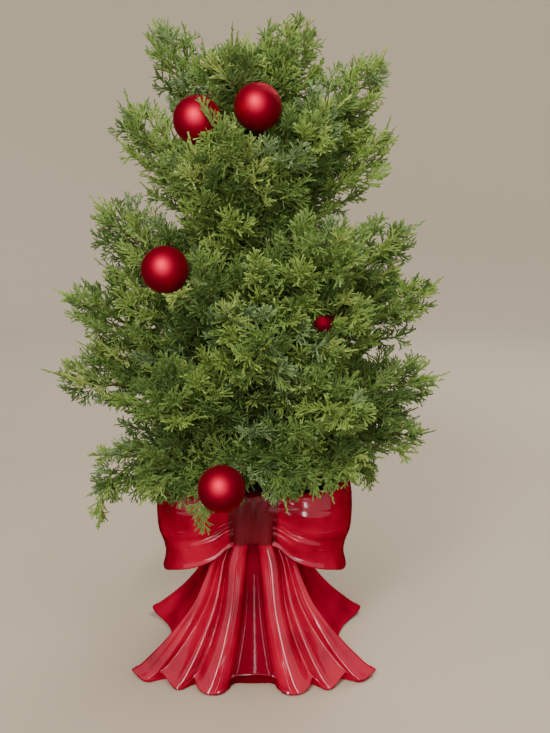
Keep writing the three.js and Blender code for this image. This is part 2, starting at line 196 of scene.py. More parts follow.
# Knots: the darkest reds, which are painted shade.
KNOT_SHADE_REDS = ["#560514", "#6A091C", "#7A0E24"]
MOTTLE_MM = 42
WAVE_MM = 9


def glazed_earthenware(name, reds, roughness, ior):
    material, tree, shader, at = new_material(name)
    mottle = node(tree, "TexNoise", {"Scale": per(MOTTLE_MM), "Detail": 3.0, "Roughness": 0.5}, at)
    stops = list(zip((0.3, 0.52, 0.75), map(linear, reds)))
    tint = node(tree, "ValToRGB", links=[("Fac", mottle, "Fac")], stops=stops)
    wave = node(tree, "TexNoise", {"Scale": per(WAVE_MM), "Detail": 2.0}, at)
    bump = node(tree, "Bump", {"Strength": 0.12, "Distance": 0.0006}, [("Height", wave, "Fac")])
    wire(tree, shader, {"Roughness": roughness, "IOR": ior},
         [("Base Color", tint, "Color"), ("Normal", bump, "Normal")])
    return material


glaze = glazed_earthenware("glazed_earthenware_red", GLAZE_REDS, 0.12, 1.5)
glaze_pooled_and_shaded = glazed_earthenware("glazed_earthenware_pooled_and_painted_shade_red", POOL_AND_SHADE_REDS, 0.1, 1.36)
glaze_knot_shade = glazed_earthenware("glazed_earthenware_knot_painted_shade_red", KNOT_SHADE_REDS, 0.4, 1.27)

# %% [markdown]
# The planter's body is one surface that changes its outline with height. At the knot it is an
# oval; at the hem it is a star with four points, where the two front and the two back ribbon
# tails flare out. It could be sculpted, but a formula keeps both faces alike and gives each
# pleat the same sharp valley and round ridge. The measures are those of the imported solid, and
# short tables are read through a smooth curve so that the ribbon flows.

# %% Measures of the body
WAIST_Z = 163
FOOT_INSET = 9
LIP_INSET = 5
BODY_TOP = 205
FRONT_HALF = [
    [0, 147], [4.5, 147], [9, 139], [22, 125.5], [40, 109], [68, 87], [94, 69], [121, 56.5],
    [141, 48], [163, 33],
]
BACK_HALF = [
    [0, 143], [4.5, 143], [9, 135], [22, 118], [40, 98], [66, 77], [94, 62], [121, 53], [141, 46],
    [163, 33],
]
SIDE_HALF = [[0, 105], [12, 95], [27, 83], [48, 71], [69, 63], [92, 57], [132, 53], [163, 51]]
CORNER_Y = 81
FRONT_BULGE = 32
# The sunk panel between two tails: its half width is a share of the outline's.
PANEL_TOP = 0.17
PANEL_HEM = 0.185
PANEL_RECESS = [6, 12]
PANEL_ROLL = [0.2, 1.1]
PANEL_ARCH = 4
# The raised strip's share of a tail, and further measures, each as [at the knot, at the hem].
STRIP_SHARE = [0.62, 0.33]
STRIP_RISE = [2, 3.5]
TAIL_RELIEF = [5, 14]
TAIL_TUCK = 12
HEM_WAVE = 9
CORNER_LIFT = 4.5
HEM_ROUND = 4.5
# Fine creases in a tail: place (0 to 1 on the strip, 1 to 3 on the ridges), depth in mm, drift.
CREASES = [[0.4, 0.4, 0.1], [1.72, 0.5, 0.05], [2.42, 0.9, 0.03]]
CREASE_WIDTH = 0.06
# Below this height the hem's wave fades out upwards.
WAVE_TOP = 70


# %% Read a short table as a smooth curve
def smooth_along(table, keys):
    """Reads [key, value] pairs through a curve that never overshoots them (monotone cubic)."""
    x, y = np.array(table, float).T
    keys = np.clip(np.asarray(keys, float), x[0], x[-1])
    step = np.diff(x)
    slope = np.diff(y) / step
    tangent = np.zeros_like(y)
    same = slope[1:] * slope[:-1] > 0
    tangent[1:-1][same] = 2 * slope[1:][same] * slope[:-1][same] / (slope[1:] + slope[:-1])[same]
    tangent[0], tangent[-1] = slope[0], slope[-1]
    i = np.clip(np.searchsorted(x, keys, "right") - 1, 0, len(x) - 2)
    t = (keys - x[i]) / step[i]
    h = step[i]
    return ((2 * t**3 - 3 * t**2 + 1) * y[i] + (t**3 - 2 * t**2 + t) * h * tangent[i]
            + (3 * t**2 - 2 * t**3) * y[i + 1] + (t**3 - t**2) * h * tangent[i + 1])


def smoothstep(low, high, value):
    t = np.clip((np.asarray(value, float) - low) / (high - low), 0, 1)
    return t * t * (3 - 2 * t)


# %% [markdown]
# An outline runs round the body: tail, panel and tail in front, a plain side wall, and the same
# behind. A tail has a raised strip beside the panel and two round ridges outside it.

# %% The body with its pleated tails
def knot_to_hem(pair, drop):
    return pair[0] + (pair[1] - pair[0]) * drop


def tail_profile(w, drop):
    """Across a tail, from the panel (w = 0) to its edge (1): how far out, and how high the ridge."""
    strip = knot_to_hem(STRIP_SHARE, 1 - (1 - drop) ** 2.5)
    s = np.where(w < strip, w / strip, 1 + 2 * (w - strip) / (1 - strip))
    roll = np.maximum(0, np.sin(np.pi * np.clip(s, 0, 1))) ** 0.45
    ridge = (0.5 - 0.5 * np.cos(2 * np.pi * s)) ** 0.9
    on_strip = s < 1
    height = np.where(on_strip, roll, ridge)
    relief = knot_to_hem(TAIL_RELIEF, drop)
    out = relief * (height - 0.5)
    out += np.where(on_strip, knot_to_hem(STRIP_RISE, drop) * roll, 0)
    out -= TAIL_TUCK * smoothstep(0.9, 1.1, s) * (1 - drop) ** 1.5
    for place, depth, drift in CREASES:
        line = place + drift * math.sin(5 * drop + 7 * place)
        out -= depth * (0.4 + 0.6 * drop) * np.exp(-((s - line) / CREASE_WIDTH) ** 2)
    return out * (1 - w ** 6), height


# %% One outline of the body
def face_curve(level, half_table):
    """The front of one outline from the left corner to the right: tail, panel, tail."""
    z = min(level, WAIST_Z)
    drop = 1 - z / WAIST_Z
    half = smooth_along(half_table, z)
    inner = knot_to_hem([PANEL_TOP, PANEL_HEM], drop)
    bulge = 5 + FRONT_BULGE * drop ** 1.3
    fade = max(0.0, 1 - level / WAVE_TOP)

    w = np.linspace(0, 1, 76)
    tail_share = inner + (1 - inner) * w
    tail_out, height = tail_profile(w, drop)
    tail_hem = HEM_WAVE * (1 - height) ** 1.6 * (1 - (1 - CORNER_LIFT / HEM_WAVE) * w ** 8)

    p = np.linspace(0, 0.985, 18)
    edge = p ** 7
    recess = knot_to_hem(PANEL_RECESS, drop)
    panel_out = -recess + (recess - knot_to_hem(TAIL_RELIEF, drop) / 2) * edge
    panel_out = panel_out + knot_to_hem(PANEL_ROLL, drop) * np.cos(p * np.pi / 2) ** 2
    panel_hem = HEM_WAVE + PANEL_ARCH * (1 - p ** 2)

    share = np.concatenate([inner * p, tail_share])
    out = np.concatenate([panel_out, tail_out])
    hem = np.concatenate([panel_hem, tail_hem])
    y = CORNER_Y + bulge * (1 - share ** 2.5) + out
    right = np.stack([share * half, -y, level + hem * fade], -1)
    return np.concatenate([right[:0:-1] * [-1, 1, 1], right])


def side_curve(level):
    """The side wall from the front right corner to the back one."""
    z = min(level, WAIST_Z)
    v = np.linspace(-1, 1, 42)[1:-1]
    front, back = smooth_along(FRONT_HALF, z), smooth_along(BACK_HALF, z)
    half = front + (back - front) * (v + 1) / 2
    side_x = smooth_along(SIDE_HALF, z)
    lift = CORNER_LIFT * np.abs(v) ** 8 * max(0.0, 1 - level / WAVE_TOP)
    return np.stack([side_x + (half - side_x) * v * v, v * CORNER_Y, level + lift], -1)


def outline_ring(level):
    """One outline of the body, with its four corners rounded."""
    front, back = face_curve(level, FRONT_HALF), face_curve(level, BACK_HALF)
    wall = side_curve(level)
    ring = np.concatenate([front, wall, back * [-1, -1, 1], (wall * [-1, 1, 1])[::-1]])
    count, side = len(front), len(wall)
    corners = np.array([0, count - 1, count + side, 2 * count + side - 1])
    half = len(ring) // 2
    gap = np.abs((np.arange(len(ring))[:, None] - corners + half) % len(ring) - half).min(1)
    share = np.clip(1 - gap / 7, 0, 1)[:, None]
    for _ in range(14):
        ring += share * 0.5 * (0.5 * (np.roll(ring, 1, 0) + np.roll(ring, -1, 0)) - ring)
    return ring


# %% Foot, rounded hem and outlines up to the knot
def inset_ring(ring, distance, z):
    kept = 1 - distance / np.hypot(ring[:, 0], ring[:, 1])
    return np.stack([ring[:, 0] * kept, ring[:, 1] * kept, z], -1)


def bow_body():
    hem = outline_ring(0)
    low = hem[:, 2]
    rings = [inset_ring(hem, FOOT_INSET, 0 * low),
             inset_ring(hem, FOOT_INSET - 1.5, 0.2 + low * 0.5),
             inset_ring(hem, LIP_INSET, low + 0.6)]
    for a in np.radians((0, 22, 45, 68)):
        inset, lift = HEM_ROUND * (1 - math.sin(a)), HEM_ROUND * (1 - math.cos(a))
        rings.append(inset_ring(hem, inset, low + lift))
    levels = [*np.linspace(HEM_ROUND, 40, 18), *np.linspace(43, 165, 44), 175, BODY_TOP]
    rings += [outline_ring(level) for level in levels]
    return capped_loft(rings)


# %% [markdown]
# A loop of the bow is a band that starts pinched at the front knot, swells out round the side
# and comes back to the rear knot. Its section is a rounded wall with a waist and a rolled lower
# lip. The gathers fan out from the knot: they are deep where the ribbon is squeezed and die
# away round the side. Three thin embossed lines follow the band, as stitched ribbon has.

# %% The loops
LOOP_R = 117.5
LOOP_PINCH = 33
LOOP_TOP = 222
LOOP_UNDER = [[0, 105], [15, 110], [34, 123], [53, 136], [63, 146], [72, 159], [90, 165]]
# The loop's wall from its rim down: how far out of its radius, and the share of its height.
LOOP_SECTION = [
    [-7, 1], [-4.5, 0.975], [-1, 0.83], [0, 0.66], [-1.5, 0.45], [-5, 0.36], [-8, 0.28], [-9.5, 0.2],
    [-9, 0.13], [-7.5, 0.064], [-6, 0.02], [-7, 0.002], [-24, 0],
]
# Each gather: height share at the knot and at its end, width, rise in mm, reach in degrees.
GATHERS = {
    -1: [[0.90, 0.86, 0.03, -1.2, 26], [0.74, 0.72, 0.1, 2.4, 50], [0.68, 0.72, 0.022, -1.6, 34],
         [0.60, 0.61, 0.022, -1.8, 36], [0.53, 0.5, 0.03, -2.4, 32], [0.45, 0.38, 0.045, -6.5, 40],
         [0.37, 0.32, 0.03, 1.5, 30], [0.24, 0.2, 0.11, 4.8, 58], [0.08, 0.07, 0.03, -1.4, 24]],
    1: [[0.90, 0.86, 0.03, -1.5, 28], [0.74, 0.70, 0.12, 3.0, 52], [0.62, 0.56, 0.03, -1.6, 34],
        [0.50, 0.38, 0.045, -7.0, 44], [0.41, 0.33, 0.03, 1.8, 32], [0.24, 0.2, 0.11, 4.8, 58],
        [0.34, 0.27, 0.025, -1.4, 28], [0.12, 0.1, 0.035, -1.8, 24]],
}
EMBOSSED = [0.80, 0.50, 0.25]
THREAD_RISE = 0.4


def bow_loop(sign):
    curve = np.array([[i, *row] for i, row in enumerate(LOOP_SECTION)], float)
    keys = np.linspace(0, len(LOOP_SECTION) - 1, 66)
    out_all, q_all = (smooth_along(curve[:, [0, column]], keys) for column in (1, 2))
    fine = np.array([q + d for q in EMBOSSED for d in (-0.009, -0.003, 0.003, 0.009)])
    order = np.argsort(-np.concatenate([q_all, fine]), kind="stable")
    out_all = np.concatenate([out_all, np.interp(fine, q_all[::-1], out_all[::-1])])[order]
    q_all = np.concatenate([q_all, fine])[order]
    rings = []
    for angle in np.linspace(-math.pi / 2, math.pi / 2, 121):
        away = 90 - abs(math.degrees(angle))
        r = LOOP_R - LOOP_PINCH * abs(math.sin(angle)) ** 6
        under = float(smooth_along(LOOP_UNDER, abs(math.degrees(angle))))
        relief = np.zeros_like(q_all)
        for at_knot, at_end, width, rise, reach in GATHERS[sign]:
            line = at_knot + (at_end - at_knot) * min(1, away / reach)
            spread = width * (0.7 + 0.5 * away / reach)
            relief += rise * np.exp(-((q_all - line) / spread) ** 2) * math.exp(-(away / reach) ** 3)
        thread = sum(np.exp(-((q_all - q) / 0.005) ** 2) for q in EMBOSSED)
        relief += THREAD_RISE * thread * smoothstep(36, 50, away)
        d = r + out_all + relief
        z = under + (LOOP_TOP - under) * q_all
        rim = [(r - 9, LOOP_TOP + 1.2), (r - 11.5, LOOP_TOP + 1.2), (r - 14, LOOP_TOP + 0.2)]
        back = [(r * 0.42, under + 26), (r * 0.42, LOOP_TOP - 6), (r - 16, LOOP_TOP - 5)]
        section = list(zip(d, z)) + back + rim[::-1]
        rings.append([[sign * a * math.cos(angle), a * math.sin(angle), b] for a, b in section])
    return capped_loft(rings)


# %% [markdown]
# The knot is a short tight wrap of ribbon, front and back. Its wrinkles run up and down, and it
# is a little narrower below, where the tails come out of it.

# %% The knots
KNOT_HALF = 26.7
KNOT_Y = 73
KNOT_DEPTH = 17
KNOT_LOW, KNOT_HIGH = 164.5, 222.5
KNOT_SQUARENESS = 3.4
# Height, and the share of the knot's full size.
KNOT_ROWS = [
    [KNOT_LOW, 0.74], [166, 0.81], [170, 0.86], [186, 0.93], [205, 1], [216, 0.99], [220.5, 0.94],
    [KNOT_HIGH, 0.86],
]


def bow_knot(face):
    angles = round_angles(160)
    c, s = np.cos(angles), np.sin(angles)
    n = KNOT_SQUARENESS
    square = (np.abs(c) ** n + np.abs(s) ** n) ** (-1 / n)
    levels = [*np.linspace(KNOT_LOW, 170, 7), *np.linspace(172, 214, 27),
              *np.linspace(215.5, KNOT_HIGH, 8)]
    rings = []
    for z in levels:
        scale = float(smooth_along(KNOT_ROWS, z))
        rise = (z - KNOT_LOW) / (KNOT_HIGH - KNOT_LOW)
        wrinkle = 0.8 * np.sin(angles * 15 + 2.2 * np.sin(rise * 4.1) + face)
        wrinkle += 0.4 * np.sin(angles * 26 - 3.1 * rise) + 0.8 * np.sin(angles * 9 + 4 * rise)
        wrinkle *= math.sin(math.pi * min(1, max(0, rise))) ** 0.4
        x = (KNOT_HALF * scale * square + wrinkle * 0.5) * c
        y = face * KNOT_Y + (KNOT_DEPTH * scale * square + wrinkle * 0.8) * s
        top = 0.5 * np.sin(angles * 9) * smoothstep(213, KNOT_HIGH, z)
        rings.append(np.stack([x, y, z + top], -1))
    return capped_loft(rings)


# %% [markdown]
# The planting hole is an oval well that widens upwards. It ends 60 mm above the foot.

# %% The planting hole
# Height, half the hole's width and half its depth.
HOLE = [[60, 40, 56], [125, 46, 62], [141, 62, 65], [165, 95, 68], [240, 99, 71]]


def hole_half(z):
    """Half the hole's width and half its depth at a height."""
    levels, half_x, half_y = np.array(HOLE, float).T
    return np.interp(z, levels, half_x), np.interp(z, levels, half_y)


def oval(half_x, half_y, z, angles):
    return np.stack([half_x * np.cos(angles), half_y * np.sin(angles), np.full(len(angles), z)], -1)


def hole_solid():
    angles = round_angles(96)
    levels = np.linspace(HOLE[0][0], HOLE[-1][0], 50)
    return capped_loft([oval(*hole_half(z), z, angles) for z in levels])


# %% [markdown]
# The parts of the casting are joined with the Boolean modifier, which leaves one closed shell
# with a clean crease where two folds meet, as the mould does. The planting hole is cut last.
# Each modifier is applied at once, so the mesh that is kept is plain. Its faces in the sunk
# panels then take the pooled red with painted shade, and its faces on the knots the darkest red,
# which is painted shade.

# %% Join the casting and cut the planting hole
def combine(target, other, operation):
    modifier = target.modifiers.new("join", "BOOLEAN")
    modifier.operation = operation
    modifier.solver = "MANIFOLD"
    modifier.object = other
    graph = bpy.context.evaluated_depsgraph_get()
    mesh = bpy.data.meshes.new_from_object(target.evaluated_get(graph))
    target.modifiers.clear()
    old = target.data
    target.data = mesh
    bpy.data.meshes.remove(old)
    bpy.data.objects.remove(other)


SHARP_DEGREES = 52
KNOT_SHADE_SLOT, PANEL_POOL_SHADE_SLOT = 1, 2
planter = make_piece("planter_casting", *bow_body(), glaze)
for number, part in enumerate([bow_loop(1), bow_loop(-1), bow_knot(-1), bow_knot(1)]):
    combine(planter, make_piece(f"casting_part_{number}", *part, glaze), "UNION")
combine(planter, make_piece("planting_hole", *hole_solid(), glaze), "DIFFERENCE")
planter.data.shade_smooth()
planter.data.set_sharp_from_angle(angle=math.radians(SHARP_DEGREES))
planter.data.materials.append(glaze_knot_shade)
planter.data.materials.append(glaze_pooled_and_shaded)
# Panel faces get the pooled red with painted shade; knot faces get the darkest red, painted shade.
for polygon in planter.data.polygons:
    x, y, z = polygon.center / MM
    panel = knot_to_hem([PANEL_TOP, PANEL_HEM], 1 - min(z, WAIST_Z) / WAIST_Z)
    panel_half = panel * smooth_along(FRONT_HALF if y < 0 else BACK_HALF, z)
    if abs(x) < KNOT_HALF + 1.2 and abs(y) > KNOT_Y + 2 and z > KNOT_LOW - 0.1:
        polygon.material_index = KNOT_SHADE_SLOT
    elif abs(x) < 0.97 * panel_half and abs(y) > KNOT_Y and z < WAIST_Z:
        polygon.material_index = PANEL_POOL_SHADE_SLOT
total = keep(planter, ["bow_planter"])

# %% [markdown]
# Potting soil fills the planter to a finger's width below its rim. Only scraps of it show
# between the lowest sprays: dark, moist crumbs of a few millimetres. Its rings of points are
# pushed up and down by layered waves, and the finish adds the grain.

# %% Potting soil
SOIL_Z = 200
SOIL_CRUMB_MM = 3.5


def potting_soil():
    material, tree, shader, at = new_material("moist_potting_soil")
    crumbs = node(tree, "TexNoise", {"Scale": per(SOIL_CRUMB_MM), "Detail": 5.0}, at)
    stops = [(0.35, linear("#1B120C")), (0.6, linear("#33241A")), (0.8, linear("#4C3A2B"))]
    tint = node(tree, "ValToRGB", links=[("Fac", crumbs, "Fac")], stops=stops)
    bump = node(tree, "Bump", {"Strength": 0.7, "Distance": 0.0015}, [("Height", crumbs, "Fac")])
    wire(tree, shader, {"Roughness": 0.92},
         [("Base Color", tint, "Color"), ("Normal", bump, "Normal")])
    return material


def soil_body():
    rng = np.random.default_rng(11)
    angles = round_angles(90)
    half_x, half_y = (half - 0.6 for half in hole_half(SOIL_Z))
    rings = [oval(half_x * shrink, half_y * shrink, z, angles)
             for z, shrink in ((150, 0.62), (165, 0.97), (SOIL_Z - 2, 0.995))]
    waves = rng.uniform(-1, 1, (9, 2)) * 0.35
    phase = rng.uniform(0, 6, 9)
    for share in np.linspace(0.985, 0.04, 34):
        x, y = half_x * share * np.cos(angles), half_y * share * np.sin(angles)
        lift = sum(np.sin(x * a + y * b + p) for (a, b), p in zip(waves, phase)) / 9
        rings.append(np.stack([x, y, SOIL_Z - 0.6 + 1.6 * lift - 1.2 * share ** 6], -1))
    return capped_loft(rings)


soil = make_piece("soil_surface", *soil_body(), potting_soil())
total += keep(soil, ["soil"])

# %% [markdown]
# Juniper bark is thin, red-brown and stringy: it peels in long narrow strips that follow the
# limb. The strips are real relief here, because the outline of a limb shows them. A limb is a
# tube whose radius rises and falls with the angle, in ridges that wander slowly as they climb.
# The finish adds fibres a millimetre or two wide, drawn out along the height.

# %% Stringy bark
BARK_STRIP_MM = 2.2


def stringy_bark(name, dark, mid, light):
    material, tree, shader, at = new_material(name)
    drawn = node(tree, "Mapping", {"Scale": (1.0, 1.0, 0.12)}, at)
    size = {"Scale": per(BARK_STRIP_MM), "Detail": 4.0, "Roughness": 0.6}
    fibres = node(tree, "TexNoise", size, [("Vector", drawn, "Vector")])
    stops = [(0.3, linear(dark)), (0.55, linear(mid)), (0.78, linear(light))]
    tint = node(tree, "ValToRGB", links=[("Fac", fibres, "Fac")], stops=stops)
    bump = node(tree, "Bump", {"Strength": 0.6, "Distance": 0.0008}, [("Height", fibres, "Fac")])
    wire(tree, shader, {"Roughness": 0.85},
         [("Base Color", tint, "Color"), ("Normal", bump, "Normal")])
    return material


bark = stringy_bark("stringy_juniper_bark", "#3A261A", "#6A4A33", "#93755A")
twig_bark = stringy_bark("young_green_brown_twig", "#4A4A26", "#6B6A38", "#8C8450")

# %% [markdown]
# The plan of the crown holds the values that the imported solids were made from: the trunk's
# bends, and for each foliage mass where it starts on the trunk and where its tip is.

# %% The trunk and the plan of the crown
# Trunk as [x, y, z, radius]. Foliage masses as [name, height on the trunk, share of the way held
# by a bough, tip x, y, z, radius, sag].
TRUNK = np.array([
    [0, 0, 200.35, 14], [0, 0, 206, 10.5], [0, 0, 222, 8.8], [1, 1, 300, 7.6],
    [-3, 2, 400, 6.2], [0, -1, 490, 4.8], [5, 0, 570, 3.4], [9, 1, 640, 1.4],
])
MASSES = [
    ["leader_left", 545, 0, -106, 4, 739, 54, -10],
    ["leader_mid", 622, 0, 52, -4, 744, 54, -8],
    ["leader_right", 565, 0, 147, 0, 698, 54, -6],
    ["leader_front", 585, 0, -22, -64, 712, 52, -8],
    ["leader_back", 598, 0, -10, 68, 726, 54, -8],
    ["upper_left", 478, 0, -144, -10, 648, 56, -6],
    ["upper_right", 490, 0, 158, 8, 618, 56, 0],
    ["upper_front_right", 512, 0, 72, -102, 632, 60, 0],
    ["upper_front_left", 465, 0, -60, -112, 600, 60, 0],
    ["upper_back_right", 508, 0, 78, 102, 634, 60, 0],
    ["upper_back_left", 470, 0, -66, 110, 618, 60, 0],
    ["mid_left", 385, 0.2, -180, -2, 540, 62, -4],
    ["mid_right", 380, 0.2, 184, 2, 515, 62, 0],
    ["mid_front_right", 392, 0.2, 100, -136, 515, 66, 4],
    ["mid_front_left", 370, 0.2, -80, -148, 488, 66, 4],
    ["mid_back_right", 388, 0.2, 96, 140, 505, 66, 4],
    ["mid_back_left", 378, 0.2, -90, 142, 512, 66, 4],
    ["wide_left", 318, 0.22, -218, -14, 438, 64, 6],
    ["wide_right", 312, 0.22, 214, 6, 446, 64, 6],
    ["wide_front", 332, 0.2, 14, -174, 412, 66, 6],
    ["wide_back", 326, 0.2, 0, 174, 412, 66, 8],
    ["low_left", 268, 0.24, -238, 8, 342, 62, 12],
    ["low_right", 264, 0.24, 217, -4, 338, 62, 12],
    ["low_front_right", 280, 0.22, 116, -156, 340, 68, 10],
    ["low_front_left", 276, 0.22, -112, -158, 344, 68, 10],
    ["low_back_right", 278, 0.22, 138, 142, 348, 68, 10],
    ["low_back_left", 282, 0.22, -138, 140, 352, 68, 10],
    ["skirt_left", 236, 0.26, -187, -26, 200, 62, 42],
    ["skirt_right", 234, 0.26, 206, 6, 262, 62, 18],
    ["skirt_front", 252, 0, 36, -150, 240, 64, 34],
    ["skirt_front_right", 242, 0.24, 118, -118, 252, 66, 26],
    ["skirt_front_left", 245, 0.24, -110, -124, 232, 66, 28],
    ["skirt_back_right", 244, 0.24, 92, 146, 226, 66, 28],
    ["skirt_back_left", 240, 0.24, -86, 148, 222, 66, 28],
]
UP = np.array([0, 0, 1.0])


def trunk_at(z):
    return np.array([np.interp(z, TRUNK[:, 2], TRUNK[:, axis]) for axis in (0, 1)] + [z])


def way_point(mass, t):
    """The way from the trunk out to a plume's tip, at share t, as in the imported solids."""
    _, height, _, *tip, _, sag = mass
    base = trunk_at(height)
    t = np.asarray(t, float)[..., None]
    return base + (np.array(tip, float) - base) * t + UP * sag * 4 * t * (1 - t)


# %% [markdown]
# A tube carries one direction along its path, so its ridges do not twist. The trunk flares a
# little at the soil, and every bough is one tapering tube.

# %% Limbs as tubes with relief
def unit(v):
    return v / np.maximum(1e-9, np.linalg.norm(v, axis=-1, keepdims=True))


def tube(path, radii, sides, relief=None):
    """Rings about a path. relief(angle, distance along, radius) gives the bark's rise in mm."""
    path = np.asarray(path, float)
    way = unit(np.gradient(path, axis=0))
    across = np.array([1.0, 0, 0]) if abs(way[0][0]) < 0.9 else np.array([0, 1.0, 0])
    angles = round_angles(sides)
    gone = np.concatenate([[0], np.cumsum(np.linalg.norm(np.diff(path, axis=0), axis=1))])
    rings = []
    for point, w, r, s in zip(path, way, radii, gone):
        across = unit(across - w * (across @ w))
        up = np.cross(w, across)
        out = r + (relief(angles, s, r) if relief else 0)
        x, y = out * np.cos(angles), out * np.sin(angles)
        rings.append(point + x[:, None] * across + y[:, None] * up)
    return capped_loft(rings)


# %% Ridges of bark
def bark_relief(seed, depth):
    rng = np.random.default_rng(seed)
    counts = rng.integers(5, 15, 5)
    phases = rng.uniform(0, 6.28, 5)
    drift = rng.uniform(0.01, 0.045, 5) * rng.choice([-1, 1], 5)

    def relief(angles, s, r):
        rise = sum(np.abs(np.sin(0.5 * (n * angles) + p + s * d))
                   for n, p, d in zip(counts, phases, drift)) / 5
        return (rise - 0.6) * depth * min(r, 9) + 0.12 * r * np.sin(s * 0.11 + angles * 2)
    return relief


def gather(parts):
    """Joins several (points, faces) into one."""
    points, faces, offset = [], [], 0
    for p, f in parts:
        points.append(p)
        faces.append(f + offset)
        offset += len(p)
    return np.concatenate(points), np.concatenate(faces)


# %% Trunk and boughs
BOUGH_BASE, BOUGH_TIP = 3.6, 2.0


def trunk_mesh():
    z = np.concatenate([np.linspace(200.35, 224, 26), np.linspace(226, 640, 200)])
    path = np.stack([smooth_along(TRUNK[:, [2, 0]], z), smooth_along(TRUNK[:, [2, 1]], z), z], -1)
    radii = smooth_along(TRUNK[:, [2, 3]], z)
    bark_rise = bark_relief(5, 0.22)

    def relief(angles, s, r):
        flare = 0.16 * r * np.cos(angles * 5 + 0.7) * math.exp(-s / 9)
        return bark_rise(angles, s, r) + flare
    return tube(path, radii, 30, relief)


trunk = make_piece("trunk_bark", *trunk_mesh(), bark)
total += keep(trunk, ["trunk"])

bough_parts, bough_nodes = [], []
for number, mass in enumerate(MASSES):
    if mass[2] > 0:
        t = np.linspace(0.02, mass[2], 26)
        bough_radii = BOUGH_BASE + (BOUGH_TIP - BOUGH_BASE) * t / mass[2]
        bough_parts.append(tube(way_point(mass, t), bough_radii, 12, bark_relief(40 + number, 0.2)))
        bough_nodes.append("bough_" + mass[0])
boughs = make_piece("boughs_bark", *gather(bough_parts), bark)
total += keep(boughs, bough_nodes)

# %% [markdown]
# Baubles come before the foliage, because the sprays part round them. Each is a ball of
# 50 mm with a small metal cap, a wire loop and a hook over a twig. A ball is turned as a
# profile: the sphere runs into a short neck, which a plain sphere lacks. The finish is a satin
# lacquer over a mirror coat, so it glows in one soft spot and goes dark red at its edge. The
# cap is thin plated steel tinted red, worn shinier and duller in patches under a millimetre.

# %% Measures and finishes of the baubles
BALL_R = 25.0
LACQUER_GRAIN_MM = 0.6
CAP_WEAR_MM = 0.8
# The cap's profile: how far past the ball's surface, and its radius.
CAP_PROFILE = [[-0.6, 5.4], [-0.5, 5.9], [0.2, 5.6], [4.6, 5.0], [5.2, 4.4], [5.3, 1.0]]
EYE_R = 3.4
# Centre x, y, z in mm, and which way the cap points.
BAUBLES = [
    ["top", (7, -66, 642), (0.05, 0.25, -1.0)],
    ["top_left", (-55, -84, 628), (0.3, 0.6, 0.7)],
    ["left", (-90, -100, 476), (0.1, 0.8, 0.6)],
    ["right", (79.5, -20, 407), (0.2, 0.7, 0.7)],
    ["bottom", (-31, -149, 253), (0.1, 0.85, 0.5)],
]


def satin_lacquer():
    material, tree, shader, at = new_material("satin_red_lacquer")
    grain = node(tree, "TexNoise", {"Scale": per(LACQUER_GRAIN_MM), "Detail": 2.0}, at)
    bump = node(tree, "Bump", {"Strength": 0.08, "Distance": 0.0002}, [("Height", grain, "Fac")])
    finish = {"Base Color": linear("#CE1640"), "Metallic": 0.94, "Roughness": 0.54}
    wire(tree, shader, finish, [("Normal", bump, "Normal")])
    return material


def plated_cap():
    material, tree, shader, at = new_material("plated_steel_cap")
    scratch = node(tree, "TexNoise", {"Scale": per(CAP_WEAR_MM), "Detail": 3.0}, at)
    stops = [(0.3, (0.22, 0.22, 0.22, 1)), (0.7, (0.4, 0.4, 0.4, 1))]
    rough = node(tree, "ValToRGB", links=[("Fac", scratch, "Fac")], stops=stops)
    finish = {"Base Color": linear("#B0483F"), "Metallic": 1.0}
    wire(tree, shader, finish, [("Roughness", rough, "Color")])
    return material


# %% Turn the balls and caps, and bend the rings and hooks
def beside(axis):
    return unit(np.cross(axis, [0.3, 1.0, 0.1]))


def turned(profile, columns, origin, axis):
    """A closed solid turned from (distance along the axis, radius) pairs."""
    axis = unit(np.array(axis, float))
    side = beside(axis)
    up = np.cross(axis, side)
    angles = round_angles(columns)
    circle = np.cos(angles)[:, None] * side + np.sin(angles)[:, None] * up
    return capped_loft([np.array(origin) + axis * a + r * circle for a, r in profile])


def ball_profile():
    turn = np.linspace(0.02, math.pi - 0.2, 44)
    rows = [(-BALL_R * math.cos(a), BALL_R * math.sin(a)) for a in turn]
    return rows + [(BALL_R + 1.0, 4.6), (BALL_R + 2.0, 4.4)]


lacquer = satin_lacquer()
plated = plated_cap()
lacquered = bpy.data.collections.new("lacquered_pieces")
for label, centre, axis in BAUBLES:
    axis = unit(np.array(axis, float))
    ball = make_piece(f"bauble_{label}", *turned(ball_profile(), 72, centre, axis), lacquer)
    lacquered.objects.link(ball)
    total += keep(ball)
    cap = turned([(BALL_R + past, r) for past, r in CAP_PROFILE], 24, centre, axis)
    turn = np.linspace(0, 2 * np.pi, 26)[:-1]
    side = beside(axis)
    eye = np.array(centre) + axis * (BALL_R + 8.0)
    ring_path = eye + EYE_R * (np.cos(turn)[:, None] * side + np.sin(turn)[:, None] * axis)
    ring = tube(np.concatenate([ring_path, ring_path[:1]]), np.full(26, 0.5), 6)
    hook_path = eye + np.array([axis * 3 + side * 3 * math.sin(a) + axis * 3.2 * (1 - math.cos(a))
                                for a in np.linspace(0, 4.2, 14)])
    hook = tube(hook_path, np.full(14, 0.45), 6)
    total += keep(make_piece(f"bauble_{label}_cap", *gather([cap, ring, hook]), plated))
ball_centres = np.array([b[1] for b in BAUBLES], float)

# %% [markdown]
# A juniper's leaf is a scale of a millimetre or two, pressed flat on its twig, so the eye sees
# the covered twiglets: soft green fingers about 2 mm thick, up to 23 mm long, that fork at about
# 35 degrees. A finger is modelled as a closed sliver of four faces, wide across at its root
# and crosswise at its blunt end, so it looks like an even thread from any side. Fingers
# alternate along a spray, and the longer ones fork again. A few sprays of several lengths are
# grown once as patterns, and so are slender whips for the tips. They are then laid out along
# every twig as real mesh, each turned its own way.

